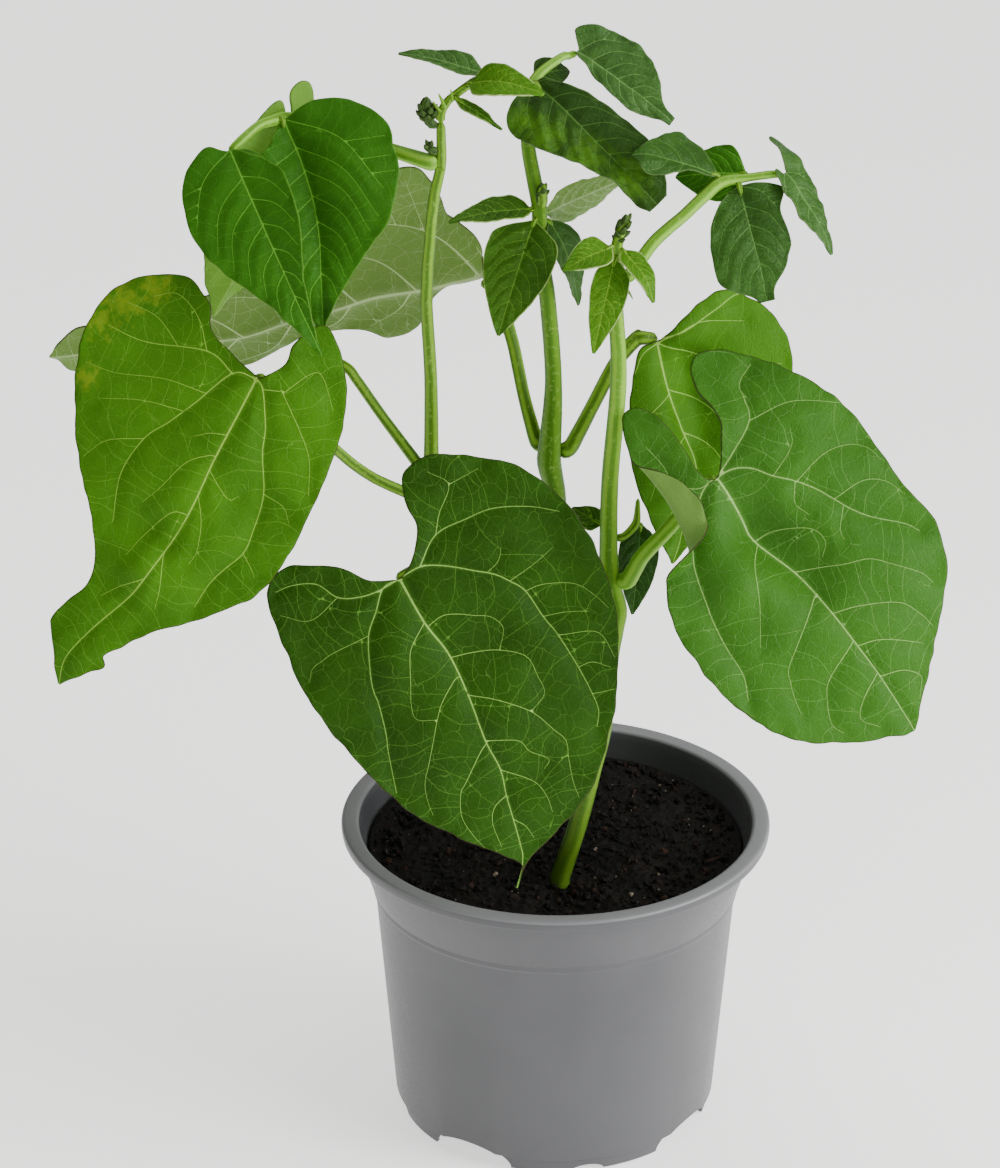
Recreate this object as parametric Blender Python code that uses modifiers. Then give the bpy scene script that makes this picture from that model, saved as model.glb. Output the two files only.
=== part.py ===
"""A potted bush bean plant: three young bean plants in one round 12 cm nursery pot.

Blender 4.5, metres, +Z up. The design sizes below are in millimetres: +X to the right and +Y to
the back of the pot's axis, and heights from a level 90 mm under the rim. At the end the whole
plant is moved, so that the pot stands at Z = 0 and the origin is under the middle of its box.
"""

import math
from dataclasses import dataclass, replace

import bmesh
import bpy
from mathutils import Matrix, Vector, geometry

MM = 0.001
GAP = 0.35  # air between two neighbouring solids

# Pot, as radius and height
RIM_RADIUS = 60.0
RIM_TOP = 90.0
FOOT_LEVEL = 3.5  # the bottom of the foot
RIM_LIP = 1.8
RIM_INNER = 54.4
COLLAR_TOP = (55.6, 86.6)
COLLAR_FOOT = (51.0, 71.8)
WALL_TOP = (50.5, 71.0)
WALL_FOOT = (45.2, 7.9)
FOOT_TOP = 44.3
FOOT_BOTTOM = 43.7
WALL = 1.2
INNER_LIP = 88.0  # height where the collar turns into the rim
FLOOR_UNDERSIDE = 10.4
POT_STEPS = 64
ARCH_ANGLES = (-33, -123, -213, -303)  # degrees from +X
ARCH_WIDTH, ARCH_HEIGHT = 25.0, 6.2
NOTCH_ANGLES = (-78, -168, -258, -348)
NOTCH_WIDTH, NOTCH_HEIGHT = 9.0, 1.8
CUTTER_DEPTH = 16.0  # well through the skirt of the foot

# Soil
SOIL_TOP = 85.0

# Leaf blades
BLADE_THICKNESS = 0.6
BLADE_FOOT = 1.6  # width of a blade where its petiole meets it
BLADE_TIP = 0.7

COLOURS = {
    "pot_plastic": ((0.19, 0.19, 0.20), 0.45),
    "peat": ((0.012, 0.008, 0.006), 0.95),
    "stem_green": ((0.21, 0.38, 0.04), 0.5),
    "leaf_green": ((0.045, 0.17, 0.018), 0.45),
    "young_green": ((0.12, 0.31, 0.03), 0.5),
}


@dataclass(frozen=True)
class Tube:
    """A stem, petiole or rachis: the points of its middle line and its radius along them."""

    points: tuple
    radii: tuple
    sides: int = 2  # bevel resolution
    step: float = 6.0
    seat: str = ""  # the tube that this one grows from
    carries: str = ""  # the blade at its far end


@dataclass(frozen=True)
class Blade:
    """A leaf blade, drawn flat and then bent: margins are (along, across) from the base."""

    base: tuple
    tip: tuple
    face: tuple  # where the upper surface looks
    right: tuple  # margin on the +across side, from the base round to the tip
    left: tuple
    arch: float = 0.0  # how far the middle stands out from the base-to-tip line
    fold: tuple = (0.0, 0.0)  # rise of the left and right halves for each mm from the midrib
    pitch: float = 9.0  # spacing of the mesh
    seat: str = ""  # the tube that a blade without a petiole sits on


def ovate(length, left, right, widest=0.62, lobe=0.0):
    """Margins of a simple egg-shaped leaflet, as (right, left), with the widest point near its base."""
    sides = []
    for width in (right, -left):
        side = []
        for step in range(1, 7):
            t = step / 7
            along = length * t - lobe * (1 - t) ** 3
            side.append((along, width * math.sin(math.pi * t**widest) ** 0.8))
        sides.append(tuple(side))
    return sides


def leaflet(base, tip, face, left, right, **more):
    """A young leaflet whose margins follow the egg shape."""
    length = (Vector(tip) - Vector(base)).length
    right_side, left_side = ovate(length, left, right)
    return Blade(base, tip, face, right_side, left_side, pitch=more.pop("pitch", 4.5), **more)


STEMS = {
    "stem_right": Tube(
        ((4, -25, 85.4), (4, -25, 87), (9, -25, 105), (13, -24, 122), (15, -23, 133), (17, -21, 155),
         (18.5, -19.5, 167), (15.5, -18, 173), (14.3, -17, 182), (14, -16, 204), (16, -15, 233),
         (15, -14, 255), (15, -14, 266)),
        (2.9, 2.7, 2.6, 2.4, 2.9, 2.4, 2.5, 3.2, 2.5, 2.3, 2.2, 2.0, 1.9),
        step=7.0,
    ),
    "stem_centre": Tube(
        ((-6, 14, 85.35), (-6, 14, 88), (-3, 12, 139), (0, 8, 188), (-2, 7, 198), (-1, 6, 223),
         (-3, 5, 250), (-5, 5, 262), (-5, 5, 274), (-8, 6, 291), (-7.5, 8, 306)),
        (2.8, 2.7, 2.5, 2.6, 3.4, 2.3, 2.2, 2.1, 2.1, 1.9, 1.7),
        step=8.0,
    ),
    "stem_left": Tube(
        ((-22, 5, 85.35), (-22, 5, 88), (-29, 2, 144), (-34, -2, 192), (-34, -2, 200), (-34, -2, 227),
         (-35, -3, 251), (-34, -3, 268), (-33, -3, 279), (-31, -3, 289), (-31, -3, 302)),
        (2.6, 2.4, 2.2, 2.2, 2.6, 1.8, 1.7, 1.6, 1.6, 1.5, 1.3),
        step=8.0,
    ),
}

PETIOLES = {
    "petiole_front": Tube(
        ((12, -20, 175), (1, -26, 183), (-20, -33, 190), (-34, -38, 190)),
        (1.7, 1.5, 1.4, 1.7), seat="stem_right", carries="leaf_front",
    ),
    "petiole_right": Tube(
        ((18.5, -20, 176), (23, -21, 184), (29, -19, 190), (35, -17, 197), (40, -20, 205)),
        (2.3, 2.1, 2.0, 1.9, 1.9), seat="stem_right", carries="leaf_right",
    ),
    "petiole_left": Tube(
        ((-38, -5, 193), (-50, -12, 203), (-59, -17, 213), (-68, -21, 225), (-75, -26, 236)),
        (1.6, 1.4, 1.4, 1.5, 1.7), seat="stem_left", carries="leaf_left",
    ),
    "petiole_left_back": Tube(
        ((-38, 0, 201), (-47, 2, 214), (-57, 4, 228), (-64, 6, 230), (-70, 7.5, 221)),
        (1.6, 1.4, 1.4, 1.4, 1.6), seat="stem_left", carries="leaf_left_back",
    ),
    "petiole_back_left": Tube(
        ((-6, 11, 203), (-9, 14, 215), (-12, 20, 228), (-16, 25, 240)),
        (2.0, 1.7, 1.7, 1.9), seat="stem_centre", carries="leaf_back_left",
    ),
    "petiole_back_right": Tube(
        ((3, 8, 202), (9, 9, 213), (16, 12, 226), (22, 15, 232)),
        (2.2, 1.9, 1.9, 2.1), seat="stem_centre", carries="leaf_back_right",
    ),
    "petiole_upper_left": Tube(
        ((-36, -2.5, 290), (-44, 2.2, 291.2), (-55, 6.6, 292.8), (-65, 6.5, 297.3), (-71.5, 3.2, 299.8),
         (-79, -4, 300.3)),
        (1.9, 1.7, 1.6, 1.6, 1.7, 1.2), seat="stem_left", carries="leaflet_upper_left_end",
    ),
    "petiole_upper_right": Tube(
        ((18, -13.3, 262), (25, -10, 270), (33, -6, 276), (43, 0, 283), (50, 0.8, 284)),
        (1.8, 1.7, 1.6, 1.7, 1.1), seat="stem_right", carries="leaflet_upper_right_end",
    ),
    "petiole_top": Tube(
        ((-7.4, 8.2, 306.9), (-4.5, 11, 310), (1, 15, 312.6)),
        (1.5, 1.3, 1.1), carries="leaflet_top_end",
    ),
    "petiole_top_left": Tube(
        ((-31, -3, 302.9), (-29.2, -3.2, 307)),
        (1.25, 1.1), step=2.2, carries="leaflet_crown_left_long",
    ),
}

PRIMARY_LEAVES = {
    "leaf_front": Blade(
        (-42, -44, 188), (-11, -66, 107), (0.0, -0.86, 0.5),
        ((-4, 5), (-11, 9), (-21, 9), (-26, 13), (-26, 22), (-16, 40), (2, 50), (26, 51), (49, 43),
         (69, 30), (80, 12.5), (84, 5)),
        ((-2, -7), (-9, -15), (-13, -27), (-9, -34), (4, -35), (20, -34), (38, -29), (58, -20),
         (70, -10), (79, -1), (84, 3.4)),
        arch=5, fold=(-0.05, -0.08),
    ),
    "leaf_left": Blade(
        (-79, -34, 242), (-132, -58, 164), (-0.1, -0.88, 0.45),
        ((-6, 4), (-15, 3.5), (-21, 8), (-13, 18), (-2, 25), (12, 29), (32, 32), (48, 31), (62, 22),
         (74, 12), (88, 7)),
        ((-1, -8), (-3, -17), (-9, -22), (-11, -31), (-4, -41), (6, -46), (17, -45), (31, -38),
         (44, -28), (56, -15), (68, -8), (85, -10)),
        arch=4, fold=(-0.1, -0.25),
    ),
    "leaf_right": Blade(
        (42, -30, 211), (95, -52, 147), (0.2, -0.86, 0.45),
        ((-4, 5), (-12, 11), (-22, 12), (-28, 17), (-24, 25), (-11, 34), (8, 40), (31, 38.5), (46, 39),
         (58, 33), (70, 20), (80, 7)),
        ((-3, -3), (-14, -1.5), (-25, -2), (-28, -8), (-17, -14), (-4, -15), (6, -17), (12, -27),
         (22, -34), (40, -36), (56, -33), (70, -25), (83, -7)),
        arch=5, fold=(-0.1, -0.1),
    ),
    "leaf_back_right": Blade(
        (27, 12, 232), (32, 4, 169), (0.2, -0.8, 0.5),
        ((-7, 9), (-11, 19), (-8, 27), (0, 35), (12, 38), (27, 34), (41, 23), (54, 9)),
        ((2, -5), (11, -9), (22, -11), (36, -10), (50, -6)),
        arch=3, fold=(-0.1, -0.1),
    ),
    "leaf_back_left": Blade(
        (-20, 28, 245), (-139, 30, 220), (0.0, 0.8, 0.4),
        ((-1, 6), (-1, 14), (5, 24), (6, 37), (12, 45), (24, 42), (40, 30), (63, 16), (90, 11), (112, 8)),
        ((10, -1.5), (16, -7), (22, -17), (30, -19), (38, -12), (52, -11), (68, -18), (90, -20),
         (108, -18), (117, -9)),
        arch=-2, fold=(0.05, 0.05),
    ),
    "leaf_left_back": Blade(
        (-73, 5, 210), (-100, -4, 164), (-0.2, -0.8, 0.5),
        ((-4, 4), (-7, 9), (-3, 13), (10, 15), (28, 12), (44, 5)),
        ((-4, -6), (-8, -12), (-3, -19), (10, -22), (28, -18), (44, -7)),
        arch=3,
    ),
}

UPPER_LEAVES = {
    "leaflet_upper_left_end": Blade(
        (-86, -12, 297), (-62, -38, 250), (-0.1, -0.85, 0.5),
        ((4, 5), (8, 9), (15, 11), (27, 9), (40, 4), (53, 1.2)),
        ((-3, -6), (1, -13), (8, -17), (18, -18), (30, -14), (42, -7), (54, -2)),
        arch=3, fold=(-0.15, -0.5), pitch=7.5,
    ),
    "leaflet_upper_left_side": Blade(
        (-71, -2, 302), (-62, -20, 247), (-0.1, -0.85, 0.5),
        ((-3, 8), (-2, 18), (4, 26), (13, 28), (22, 27), (32, 22), (43, 11), (53, 3)),
        ((5, -3.5), (10, -9), (18, -13), (28, -13), (38, -9), (50, -3)),
        arch=4, fold=(-0.1, -0.1), pitch=7.5, seat="petiole_upper_left",
    ),
    "leaflet_upper_left_back": Blade(
        (-72, 7, 299), (-92, 4, 243), (-0.45, 0.8, 0.25),
        ((-1, 5), (6, 12), (18, 16), (33, 15), (45, 10), (56, 3)),
        ((-8, -0.5), (-12, -3), (-9, -7), (0, -9), (10, -14), (22, -17), (36, -13), (49, -5)),
        arch=-3, pitch=8.0, seat="petiole_upper_left",
    ),
    "leaflet_top_side": Blade(
        (-5.5, 5, 309.5), (26, -8, 280), (0.1, -0.8, 0.6),
        ((1, 3), (8, 6), (16, 8.5), (27, 10), (36, 9), (42, 4)),
        ((-1, -7), (1, -12), (6, -14), (13, -12.5), (23, -8), (34, -3), (41, -1)),
        arch=2, fold=(-0.2, -0.2), pitch=6.5, seat="petiole_top",
    ),
    "leaflet_top_end": Blade(
        (5, 16, 314), (30, 8, 297), (0.3, -0.8, 0.5),
        ((-4, 4), (-1, 8), (5, 10.5), (13, 11), (20, 8), (27, 2)),
        ((3, -2), (12, -4.5), (21, -5), (28, -2)),
        arch=1.5, fold=(-0.1, -0.1), pitch=6.0,
    ),
    "leaflet_top_back": leaflet(
        (-2, 15.5, 310.5), (-11, 27, 302), (0.1, -0.2, 1.0), 8, 8, arch=1, seat="petiole_top",
    ),
    "leaflet_upper_right_end": Blade(
        (59, 2, 285), (72, -6, 265), (0.8, -0.4, 0.4),
        ((-4, 4), (-7, 9), (-2, 11.5), (8, 8), (17, 3)),
        ((-2, -5), (5, -8), (14, -7), (20, -3)),
        arch=1.5, fold=(-0.2, -0.2), pitch=5.0,
    ),
    "leaflet_upper_right_front": Blade(
        (48, -2.5, 281.5), (55, -12, 254), (0.1, -0.85, 0.5),
        ((0, 5), (3, 11), (9, 9), (16, 10), (22, 8), (28, 3)),
        ((4, -7), (11, -11), (18, -12), (25, -11), (29, -4)),
        arch=1.5, fold=(-0.1, -0.1), pitch=5.5, seat="petiole_upper_right",
    ),
    "leaflet_upper_right_inner": Blade(
        (41, 1, 287), (19, -8, 294), (-0.1, -0.6, 0.8),
        ((3, 1), (8, 1.5), (14, 3.5), (20, 5.5), (24, 4)),
        ((3, -5), (8, -9), (14, -9), (21, -5)),
        arch=2, fold=(-0.2, -0.2), pitch=5.0, seat="petiole_upper_right",
    ),
    "leaflet_upper_right_back": leaflet(
        (49, 3.5, 285), (29, 9, 283.5), (0.1, 0.85, 0.35), 5, 4, arch=-1, seat="petiole_upper_right",
    ),
}

YOUNG_LEAVES = {
    "leaflet_crown_left_long": leaflet(
        (-24.5, -3, 312.5), (-41, 1, 318.5), (0.1, -0.35, 0.9), 4, 4, arch=1,
    ),
    "leaflet_crown_left_end": leaflet(
        (-23.5, -3, 312), (-4, -10, 311.5), (0.1, -0.6, 0.8), 5, 4, arch=2, seat="petiole_top_left",
    ),
    "leaflet_crown_left_low": leaflet(
        (-26, -5.5, 308), (-15, -12, 302.5), (0.3, -0.6, 0.7), 2, 2, seat="petiole_top_left",
    ),
    "leaflet_crown_centre_left": leaflet(
        (-7.4, 3.5, 274), (-29, -4, 273), (0.0, -0.45, 0.9), 4.5, 4.5, arch=2, seat="stem_centre",
    ),
    "leaflet_crown_centre_front": leaflet(
        (-6.5, 2.5, 271), (-16, -14, 245), (-0.1, -0.85, 0.5), 10, 9, arch=2, fold=(-0.1, -0.1),
        seat="stem_centre",
    ),
    "leaflet_crown_centre_right": leaflet(
        (-2.5, 5, 270), (5.5, 3, 246.5), (0.7, -0.6, 0.4), 5, 6, arch=2, seat="stem_centre",
    ),
    "leaflet_crown_centre_back": leaflet(
        (-3.5, 7.5, 272), (18, 18, 278.5), (0.0, 0.75, 0.4), 6, 9, arch=-1, pitch=5.5, seat="stem_centre",
    ),
    "leaflet_crown_right_left": leaflet(
        (13.5, -15.5, 271), (1, -23, 267.5), (-0.1, -0.6, 0.75), 5, 5, arch=1, seat="bud_right",
    ),
    "leaflet_crown_right_front": leaflet(
        (14.5, -16.5, 268), (9, -28, 246), (0.0, -0.85, 0.5), 4.5, 5.5, arch=1, fold=(-0.2, -0.2),
        seat="bud_right",
    ),
    "leaflet_crown_right_right": leaflet(
        (16.8, -15.4, 270), (25, -24, 259), (0.5, -0.6, 0.6), 4, 4, arch=1.5, seat="bud_right",
    ),
    "leaf_axil_right": leaflet(
        (23.5, -12, 188), (20.5, -13, 162), (0.1, -0.8, 0.5), 5.5, 5.5, arch=1, seat="bud_axil",
    ),
    "leaf_axil_left": leaflet(
        (11.2, -14, 190), (4, -12, 194), (0.0, -0.7, 0.7), 3.5, 3.5, seat="stem_right",
    ),
}

BUDS = {
    "bud_left": Tube(((-33.5, -3.2, 300.6), (-35, -3.4, 304.5), (-34.6, -3.6, 308.5)), (1.0, 2.5, 1.0),
                     step=2.0, seat="stem_left"),
    "bud_left_side": Tube(((-33.6, -4, 293.5), (-34.4, -4.4, 296)), (1.2, 0.8), step=2.0, seat="stem_left"),
    "bud_centre": Tube(((-4.6, 3, 276.2), (-4.2, 2, 279.5), (-3.9, 1.6, 282)), (1.2, 1.5, 0.7),
                       step=2.0, seat="stem_centre"),
    "bud_right": Tube(((15, -14, 266.5), (15.2, -14, 270), (16, -14, 274), (18.4, -14, 279.5)),
                      (1.5, 1.6, 1.5, 0.6), step=2.5),
    "bud_axil": Tube(((17.6, -16, 186.8), (21, -13.5, 189.5), (21.6, -13, 197)), (1.0, 1.2, 0.5),
                     step=3.0, seat="stem_right"),
}


# ---------------------------------------------------------------- scene and materials

def clear_scene():
    """Removes every object of the open scene."""
    for obj in list(bpy.data.objects):
        bpy.data.objects.remove(obj, do_unlink=True)


def new_collection(name):
    """A new collection in the scene."""
    collection = bpy.data.collections.new(name)
    bpy.context.scene.collection.children.link(collection)
    return collection


def new_material(name):
    """A Principled material with one of the named colours."""
    colour, roughness = COLOURS[name]
    material = bpy.data.materials.new(name)
    material.use_nodes = True
    shader = material.node_tree.nodes["Principled BSDF"]
    shader.inputs["Base Color"].default_value = (*colour, 1.0)
    shader.inputs["Roughness"].default_value = roughness
    shader.inputs["Metallic"].default_value = 0.0
    material.diffuse_color = (*colour, 1.0)
    return material


def add_object(name, data, material, collection):
    """Links a new object that holds the data, with its own copy of the material."""
    obj = bpy.data.objects.new(name, data)
    own = material.copy()
    own.name = f"{name}_{material.name}"
    data.materials.append(own)
    collection.objects.link(obj)
    return obj


# ---------------------------------------------------------------- curves

def span_count(start, end, step):
    """How many steps a stretch of a path is cut into."""
    return max(1, round((end - start).length / step))


def smooth_path(points, step):
    """Points about one step apart on the Catmull-Rom curve through the given points."""
    rows = [Vector(p) for p in points]
    rows = [rows[0] * 2 - rows[1], *rows, rows[-1] * 2 - rows[-2]]
    path = []
    for a, b, c, d in zip(rows, rows[1:], rows[2:], rows[3:]):
        count = span_count(b, c, step)
        for k in range(count):
            t = k / count
            path.append(
                0.5 * (2 * b + (c - a) * t + (2 * a - 5 * b + 4 * c - d) * t**2
                       + (3 * b - a - 3 * c + d) * t**3)
            )
    path.append(rows[-2])
    return path


def tube_path(tube):
    """The tube's middle line as a smooth path, and its radius at each point of that path."""
    rows = [Vector(p) for p in tube.points]
    radii = []
    for a, b, start, end in zip(rows, rows[1:], tube.radii, tube.radii[1:]):
        count = span_count(a, b, tube.step)
        radii += [start + (end - start) * k / count for k in range(count)]
    return smooth_path(rows, tube.step), [*radii, tube.radii[-1]]


def tube_curve(name, tube):
    """A POLY curve with a round section and filled caps."""
    points, radii = tube_path(tube)
    curve = bpy.data.curves.new(name, "CURVE")
    curve.dimensions = "3D"
    curve.bevel_depth = MM
    curve.bevel_resolution = tube.sides
    curve.use_fill_caps = True
    curve.twist_mode = "MINIMUM"
    spline = curve.splines.new("POLY")
    spline.points.add(len(points) - 1)
    for slot, point, radius in zip(spline.points, points, radii):
        slot.co = (*(point * MM), 1.0)
        slot.radius = radius
    return curve


def nearest_on(tube, aim):
    """The point of a tube's middle line that is nearest to aim, and the tube's radius there."""
    points, radii = tube_path(tube)
    best = None
    for (a, ra), (b, rb) in zip(zip(points, radii), zip(points[1:], radii[1:])):
        axis = b - a
        t = min(1.0, max(0.0, (aim - a).dot(axis) / axis.length_squared))
        spot = a + axis * t
        reach = (aim - spot).length
        if best is None or reach < best[0]:
            best = (reach, spot, ra + (rb - ra) * t)
    return best[1], best[2]


def seated(tubes, seat, aim, clear=GAP):
    """The point beside a tube, one gap off its surface, on the side where aim lies."""
    aim = Vector(aim)
    spot, radius = nearest_on(tubes[seat], aim)
    return spot + (aim - spot).normalized() * (radius + clear)


# ---------------------------------------------------------------- leaf blades

def blade_axes(blade):
    """Unit vectors along the blade, across it, and out of its upper face."""
    along = (Vector(blade.tip) - Vector(blade.base)).normalized()
    face = Vector(blade.face)
    face = (face - along * face.dot(along)).normalized()
    return along, face.cross(along), face


def blade_length(blade):
    """From the base to the tip."""
    return (Vector(blade.tip) - Vector(blade.base)).length


def lift(blade, along, across):
    """How far the bent blade stands out of its flat plane."""
    length = blade_length(blade)
    t = along / length
    slope = blade.fold[1] if across > 0 else blade.fold[0]
    reach = math.hypot(across, 3.0) - 3.0
    return blade.arch * 4 * t * (1 - t) + slope * reach


def margin(points, start, end, pitch):
    """The smooth margin from the foot of the blade to its tip, without its last point."""
    rows = [(*start, 0.0), *((*p, 0.0) for p in points), (*end, 0.0)]
    return [(p.x, p.y) for p in smooth_path(rows, pitch)]


def outline(blade):
    """The flat outline, anticlockwise from the right side of the foot."""
    length = blade_length(blade)
    foot, tip = BLADE_FOOT / 2, BLADE_TIP / 2
    right = margin(blade.right, (0.0, foot), (length, tip), blade.pitch)
    left = margin(blade.left, (0.0, -foot), (length, -tip), blade.pitch)
    return left + right[::-1]


def inside(point, ring, clear):
    """True if the point is inside the ring and at least clear away from it."""
    x, y = point
    odd = False
    for (ax, ay), (bx, by) in zip(ring, ring[1:] + ring[:1]):
        if (ay > y) != (by > y) and x < ax + (bx - ax) * (y - ay) / (by - ay):
            odd = not odd
        spot, share = geometry.intersect_point_line((x, y, 0), (ax, ay, 0), (bx, by, 0))
        share = min(1.0, max(0.0, share))
        near = Vector((ax + (bx - ax) * share - x, ay + (by - ay) * share - y))
        if near.length < clear:
            return False
    return odd


def inner_points(blade, ring):
    """A triangular grid of points inside the outline."""
    pitch = blade.pitch
    rise = pitch * math.sqrt(3) / 2
    xs = [p[0] for p in ring]
    ys = [p[1] for p in ring]
    found = []
    for row in range(math.floor(min(ys) / rise), math.ceil(max(ys) / rise) + 1):
        shift = 0.5 * (row % 2)
        for column in range(math.floor(min(xs) / pitch), math.ceil(max(xs) / pitch) + 1):
            point = ((column + shift) * pitch, row * rise)
            if inside(point, ring, 0.5 * pitch):
                found.append(point)
    return found


def blade_mesh(name, blade):
    """The bent upper surface of a blade, with its face towards the upper side."""
    ring = outline(blade)
    flat = ring + inner_points(blade, ring)
    edges = [(k, (k + 1) % len(ring)) for k in range(len(ring))]
    vertices, _, faces, *_ = geometry.delaunay_2d_cdt(
        [Vector(p) for p in flat], edges, [tuple(range(len(ring)))], 1, 1e-5
    )
    along, across, face = blade_axes(blade)
    base = Vector(blade.base)
    mesh = bpy.data.meshes.new(name)
    mesh.from_pydata(
        [(base + along * p.x + across * p.y + face * lift(blade, p.x, p.y)) * MM for p in vertices],
        [],
        faces,
    )
    mesh.shade_smooth()
    return mesh


def add_blade(name, blade, tubes, material, collection):
    """A leaf blade: its surface given a thickness."""
    if blade.seat:
        base = seated(tubes, blade.seat, blade.base, GAP + BLADE_THICKNESS / 2)
        blade = replace(blade, base=tuple(base))
    obj = add_object(name, blade_mesh(name, blade), material, collection)
    shell = obj.modifiers.new("thickness", "SOLIDIFY")
    shell.thickness = BLADE_THICKNESS * MM
    shell.offset = 0.0
    shell.use_even_offset = False
    return obj


def petiole_end(blade, before, radius):
    """The last two points of a petiole: it runs along the underside, just past the foot of its blade."""
    _, _, face = blade_axes(blade)
    under = Vector(blade.base) - face * (radius + BLADE_THICKNESS / 2 + GAP)
    way = under - before
    way = (way - face * way.dot(face)).normalized()
    return [under - way * 2.0 * radius, under + way * 0.5 * radius]


# ---------------------------------------------------------------- pot and soil

def turned(name, profile, steps, material, collection):
    """A solid turned about Z from (radius, height) points, which start and end on the axis."""
    mesh = bpy.data.meshes.new(name)
    points = [(radius * MM, 0.0, height * MM) for radius, height in profile]
    mesh.from_pydata(points, [(k, k + 1) for k in range(len(points) - 1)], [])
    obj = add_object(name, mesh, material, collection)
    screw = obj.modifiers.new("turn", "SCREW")
    screw.steps = screw.render_steps = steps
    screw.use_merge_vertices = True
    screw.merge_threshold = 0.0001
    return obj


def inner_radius(height):
    """The inside of the pot: straight below the step, and wider in the collar."""
    waist_radius, waist_height = WALL_TOP[0] - WALL, WALL_TOP[1]
    if height > waist_height:
        share = (height - waist_height) / (INNER_LIP - waist_height)
        return waist_radius + (RIM_INNER - waist_radius) * share
    share = (height - WALL_FOOT[1]) / (waist_height - WALL_FOOT[1])
    return WALL_FOOT[0] - WALL + (WALL_TOP[0] - WALL_FOOT[0]) * share


def pot_profile():
    """From the middle of the floor up the inside, over the rim, and down the outside."""
    floor_top = FLOOR_UNDERSIDE + WALL
    skirt = FOOT_BOTTOM - WALL
    return [
        (0.0, floor_top),
        (inner_radius(floor_top), floor_top),
        (inner_radius(WALL_TOP[1]), WALL_TOP[1]),
        (RIM_INNER, INNER_LIP),
        (RIM_INNER + 0.5, RIM_TOP - 0.3),
        (RIM_INNER + 1.3, RIM_TOP),
        (RIM_RADIUS - 1.6, RIM_TOP - 0.1),
        (RIM_RADIUS - 0.4, RIM_TOP - 0.5),
        (RIM_RADIUS, RIM_TOP - 1.1),
        (RIM_RADIUS - 0.3, RIM_TOP - RIM_LIP),
        (COLLAR_TOP[0] + 0.6, RIM_TOP - RIM_LIP - 0.4),
        COLLAR_TOP,
        COLLAR_FOOT,
        WALL_TOP,
        WALL_FOOT,
        (FOOT_TOP, WALL_FOOT[1] - 0.5),
        (FOOT_BOTTOM, FOOT_LEVEL),
        (skirt, FOOT_LEVEL),
        (skirt + 0.3, FLOOR_UNDERSIDE),
        (0.0, FLOOR_UNDERSIDE),
    ]


def add_cutter(name, angle, width, height, collection):
    """An arched cutter across the foot of the pot: a lying cylinder, squashed to the arch's height."""
    bm = bmesh.new()
    bmesh.ops.create_cone(bm, cap_ends=True, segments=24, radius1=width / 2 * MM, radius2=width / 2 * MM,
                          depth=CUTTER_DEPTH * MM)
    bmesh.ops.transform(bm, matrix=Matrix.Rotation(math.radians(90), 4, "Y"), verts=bm.verts)
    bmesh.ops.transform(bm, matrix=Matrix.Diagonal((1, 1, 2 * height / width, 1)), verts=bm.verts)
    mesh = bpy.data.meshes.new(name)
    bm.to_mesh(mesh)
    bm.free()
    cutter = bpy.data.objects.new(name, mesh)
    spot = Vector((FOOT_TOP * MM, 0, FOOT_LEVEL * MM))
    cutter.location = Matrix.Rotation(math.radians(angle), 3, "Z") @ spot
    cutter.rotation_euler = (0, 0, math.radians(angle))
    cutter.hide_render = True
    cutter.display_type = "WIRE"
    collection.objects.link(cutter)
    return cutter


def add_pot(material, collection, cutters):
    """The pot, with four arches and four small notches in its foot."""
    pot = turned("pot", pot_profile(), POT_STEPS, material, collection)
    shapes = [(angle, ARCH_WIDTH, ARCH_HEIGHT) for angle in ARCH_ANGLES]
    shapes += [(angle, NOTCH_WIDTH, NOTCH_HEIGHT) for angle in NOTCH_ANGLES]
    for number, (angle, width, height) in enumerate(shapes):
        cutter = add_cutter(f"foot_cutter_{number}", angle, width, height, cutters)
        cut = pot.modifiers.new(f"foot_cut_{number}", "BOOLEAN")
        cut.operation = "DIFFERENCE"
        cut.object = cutter
    return pot


def add_soil(material, collection):
    """The peat, one gap inside the pot."""
    bottom = FLOOR_UNDERSIDE + WALL + GAP
    profile = [
        (0.0, bottom),
        (inner_radius(bottom) - GAP, bottom),
        (inner_radius(WALL_TOP[1]) - GAP, WALL_TOP[1]),
        (inner_radius(SOIL_TOP - 0.6) - GAP, SOIL_TOP - 0.6),
        (inner_radius(SOIL_TOP) - GAP - 1.6, SOIL_TOP),
        (0.0, SOIL_TOP),
    ]
    return turned("soil", profile[::-1], POT_STEPS // 2, material, collection)


# ---------------------------------------------------------------- the plant

def grown(tube, tubes, blades):
    """A tube that leaves its seat at a right angle and ends under the foot of the blade that it carries."""
    points = [Vector(p) for p in tube.points]
    radii = list(tube.radii)
    if tube.seat:
        aim = points[0]
        points[0] = seated(tubes, tube.seat, aim)
        points.insert(1, seated(tubes, tube.seat, aim, GAP + 0.8 * radii[0]))
        radii.insert(0, radii[0])
    if tube.carries:
        points += petiole_end(blades[tube.carries], points[-1], radii[-1])
        radii += [radii[-1]] * 2
    return Tube(tuple(tuple(p) for p in points), tuple(radii), tube.sides, tube.step)


def add_plant(materials, collection):
    """Stems, petioles, buds and leaf blades."""
    blades = {**PRIMARY_LEAVES, **UPPER_LEAVES, **YOUNG_LEAVES}
    tubes = dict(STEMS)
    for name, tube in {**PETIOLES, **BUDS}.items():
        tubes[name] = grown(tube, tubes, blades)
    for name, tube in tubes.items():
        add_object(name, tube_curve(name, tube), materials["stem_green"], collection)
    for name, blade in blades.items():
        kind = "young_green" if name in YOUNG_LEAVES else "leaf_green"
        add_blade(name, blade, tubes, materials[kind], collection)


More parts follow.
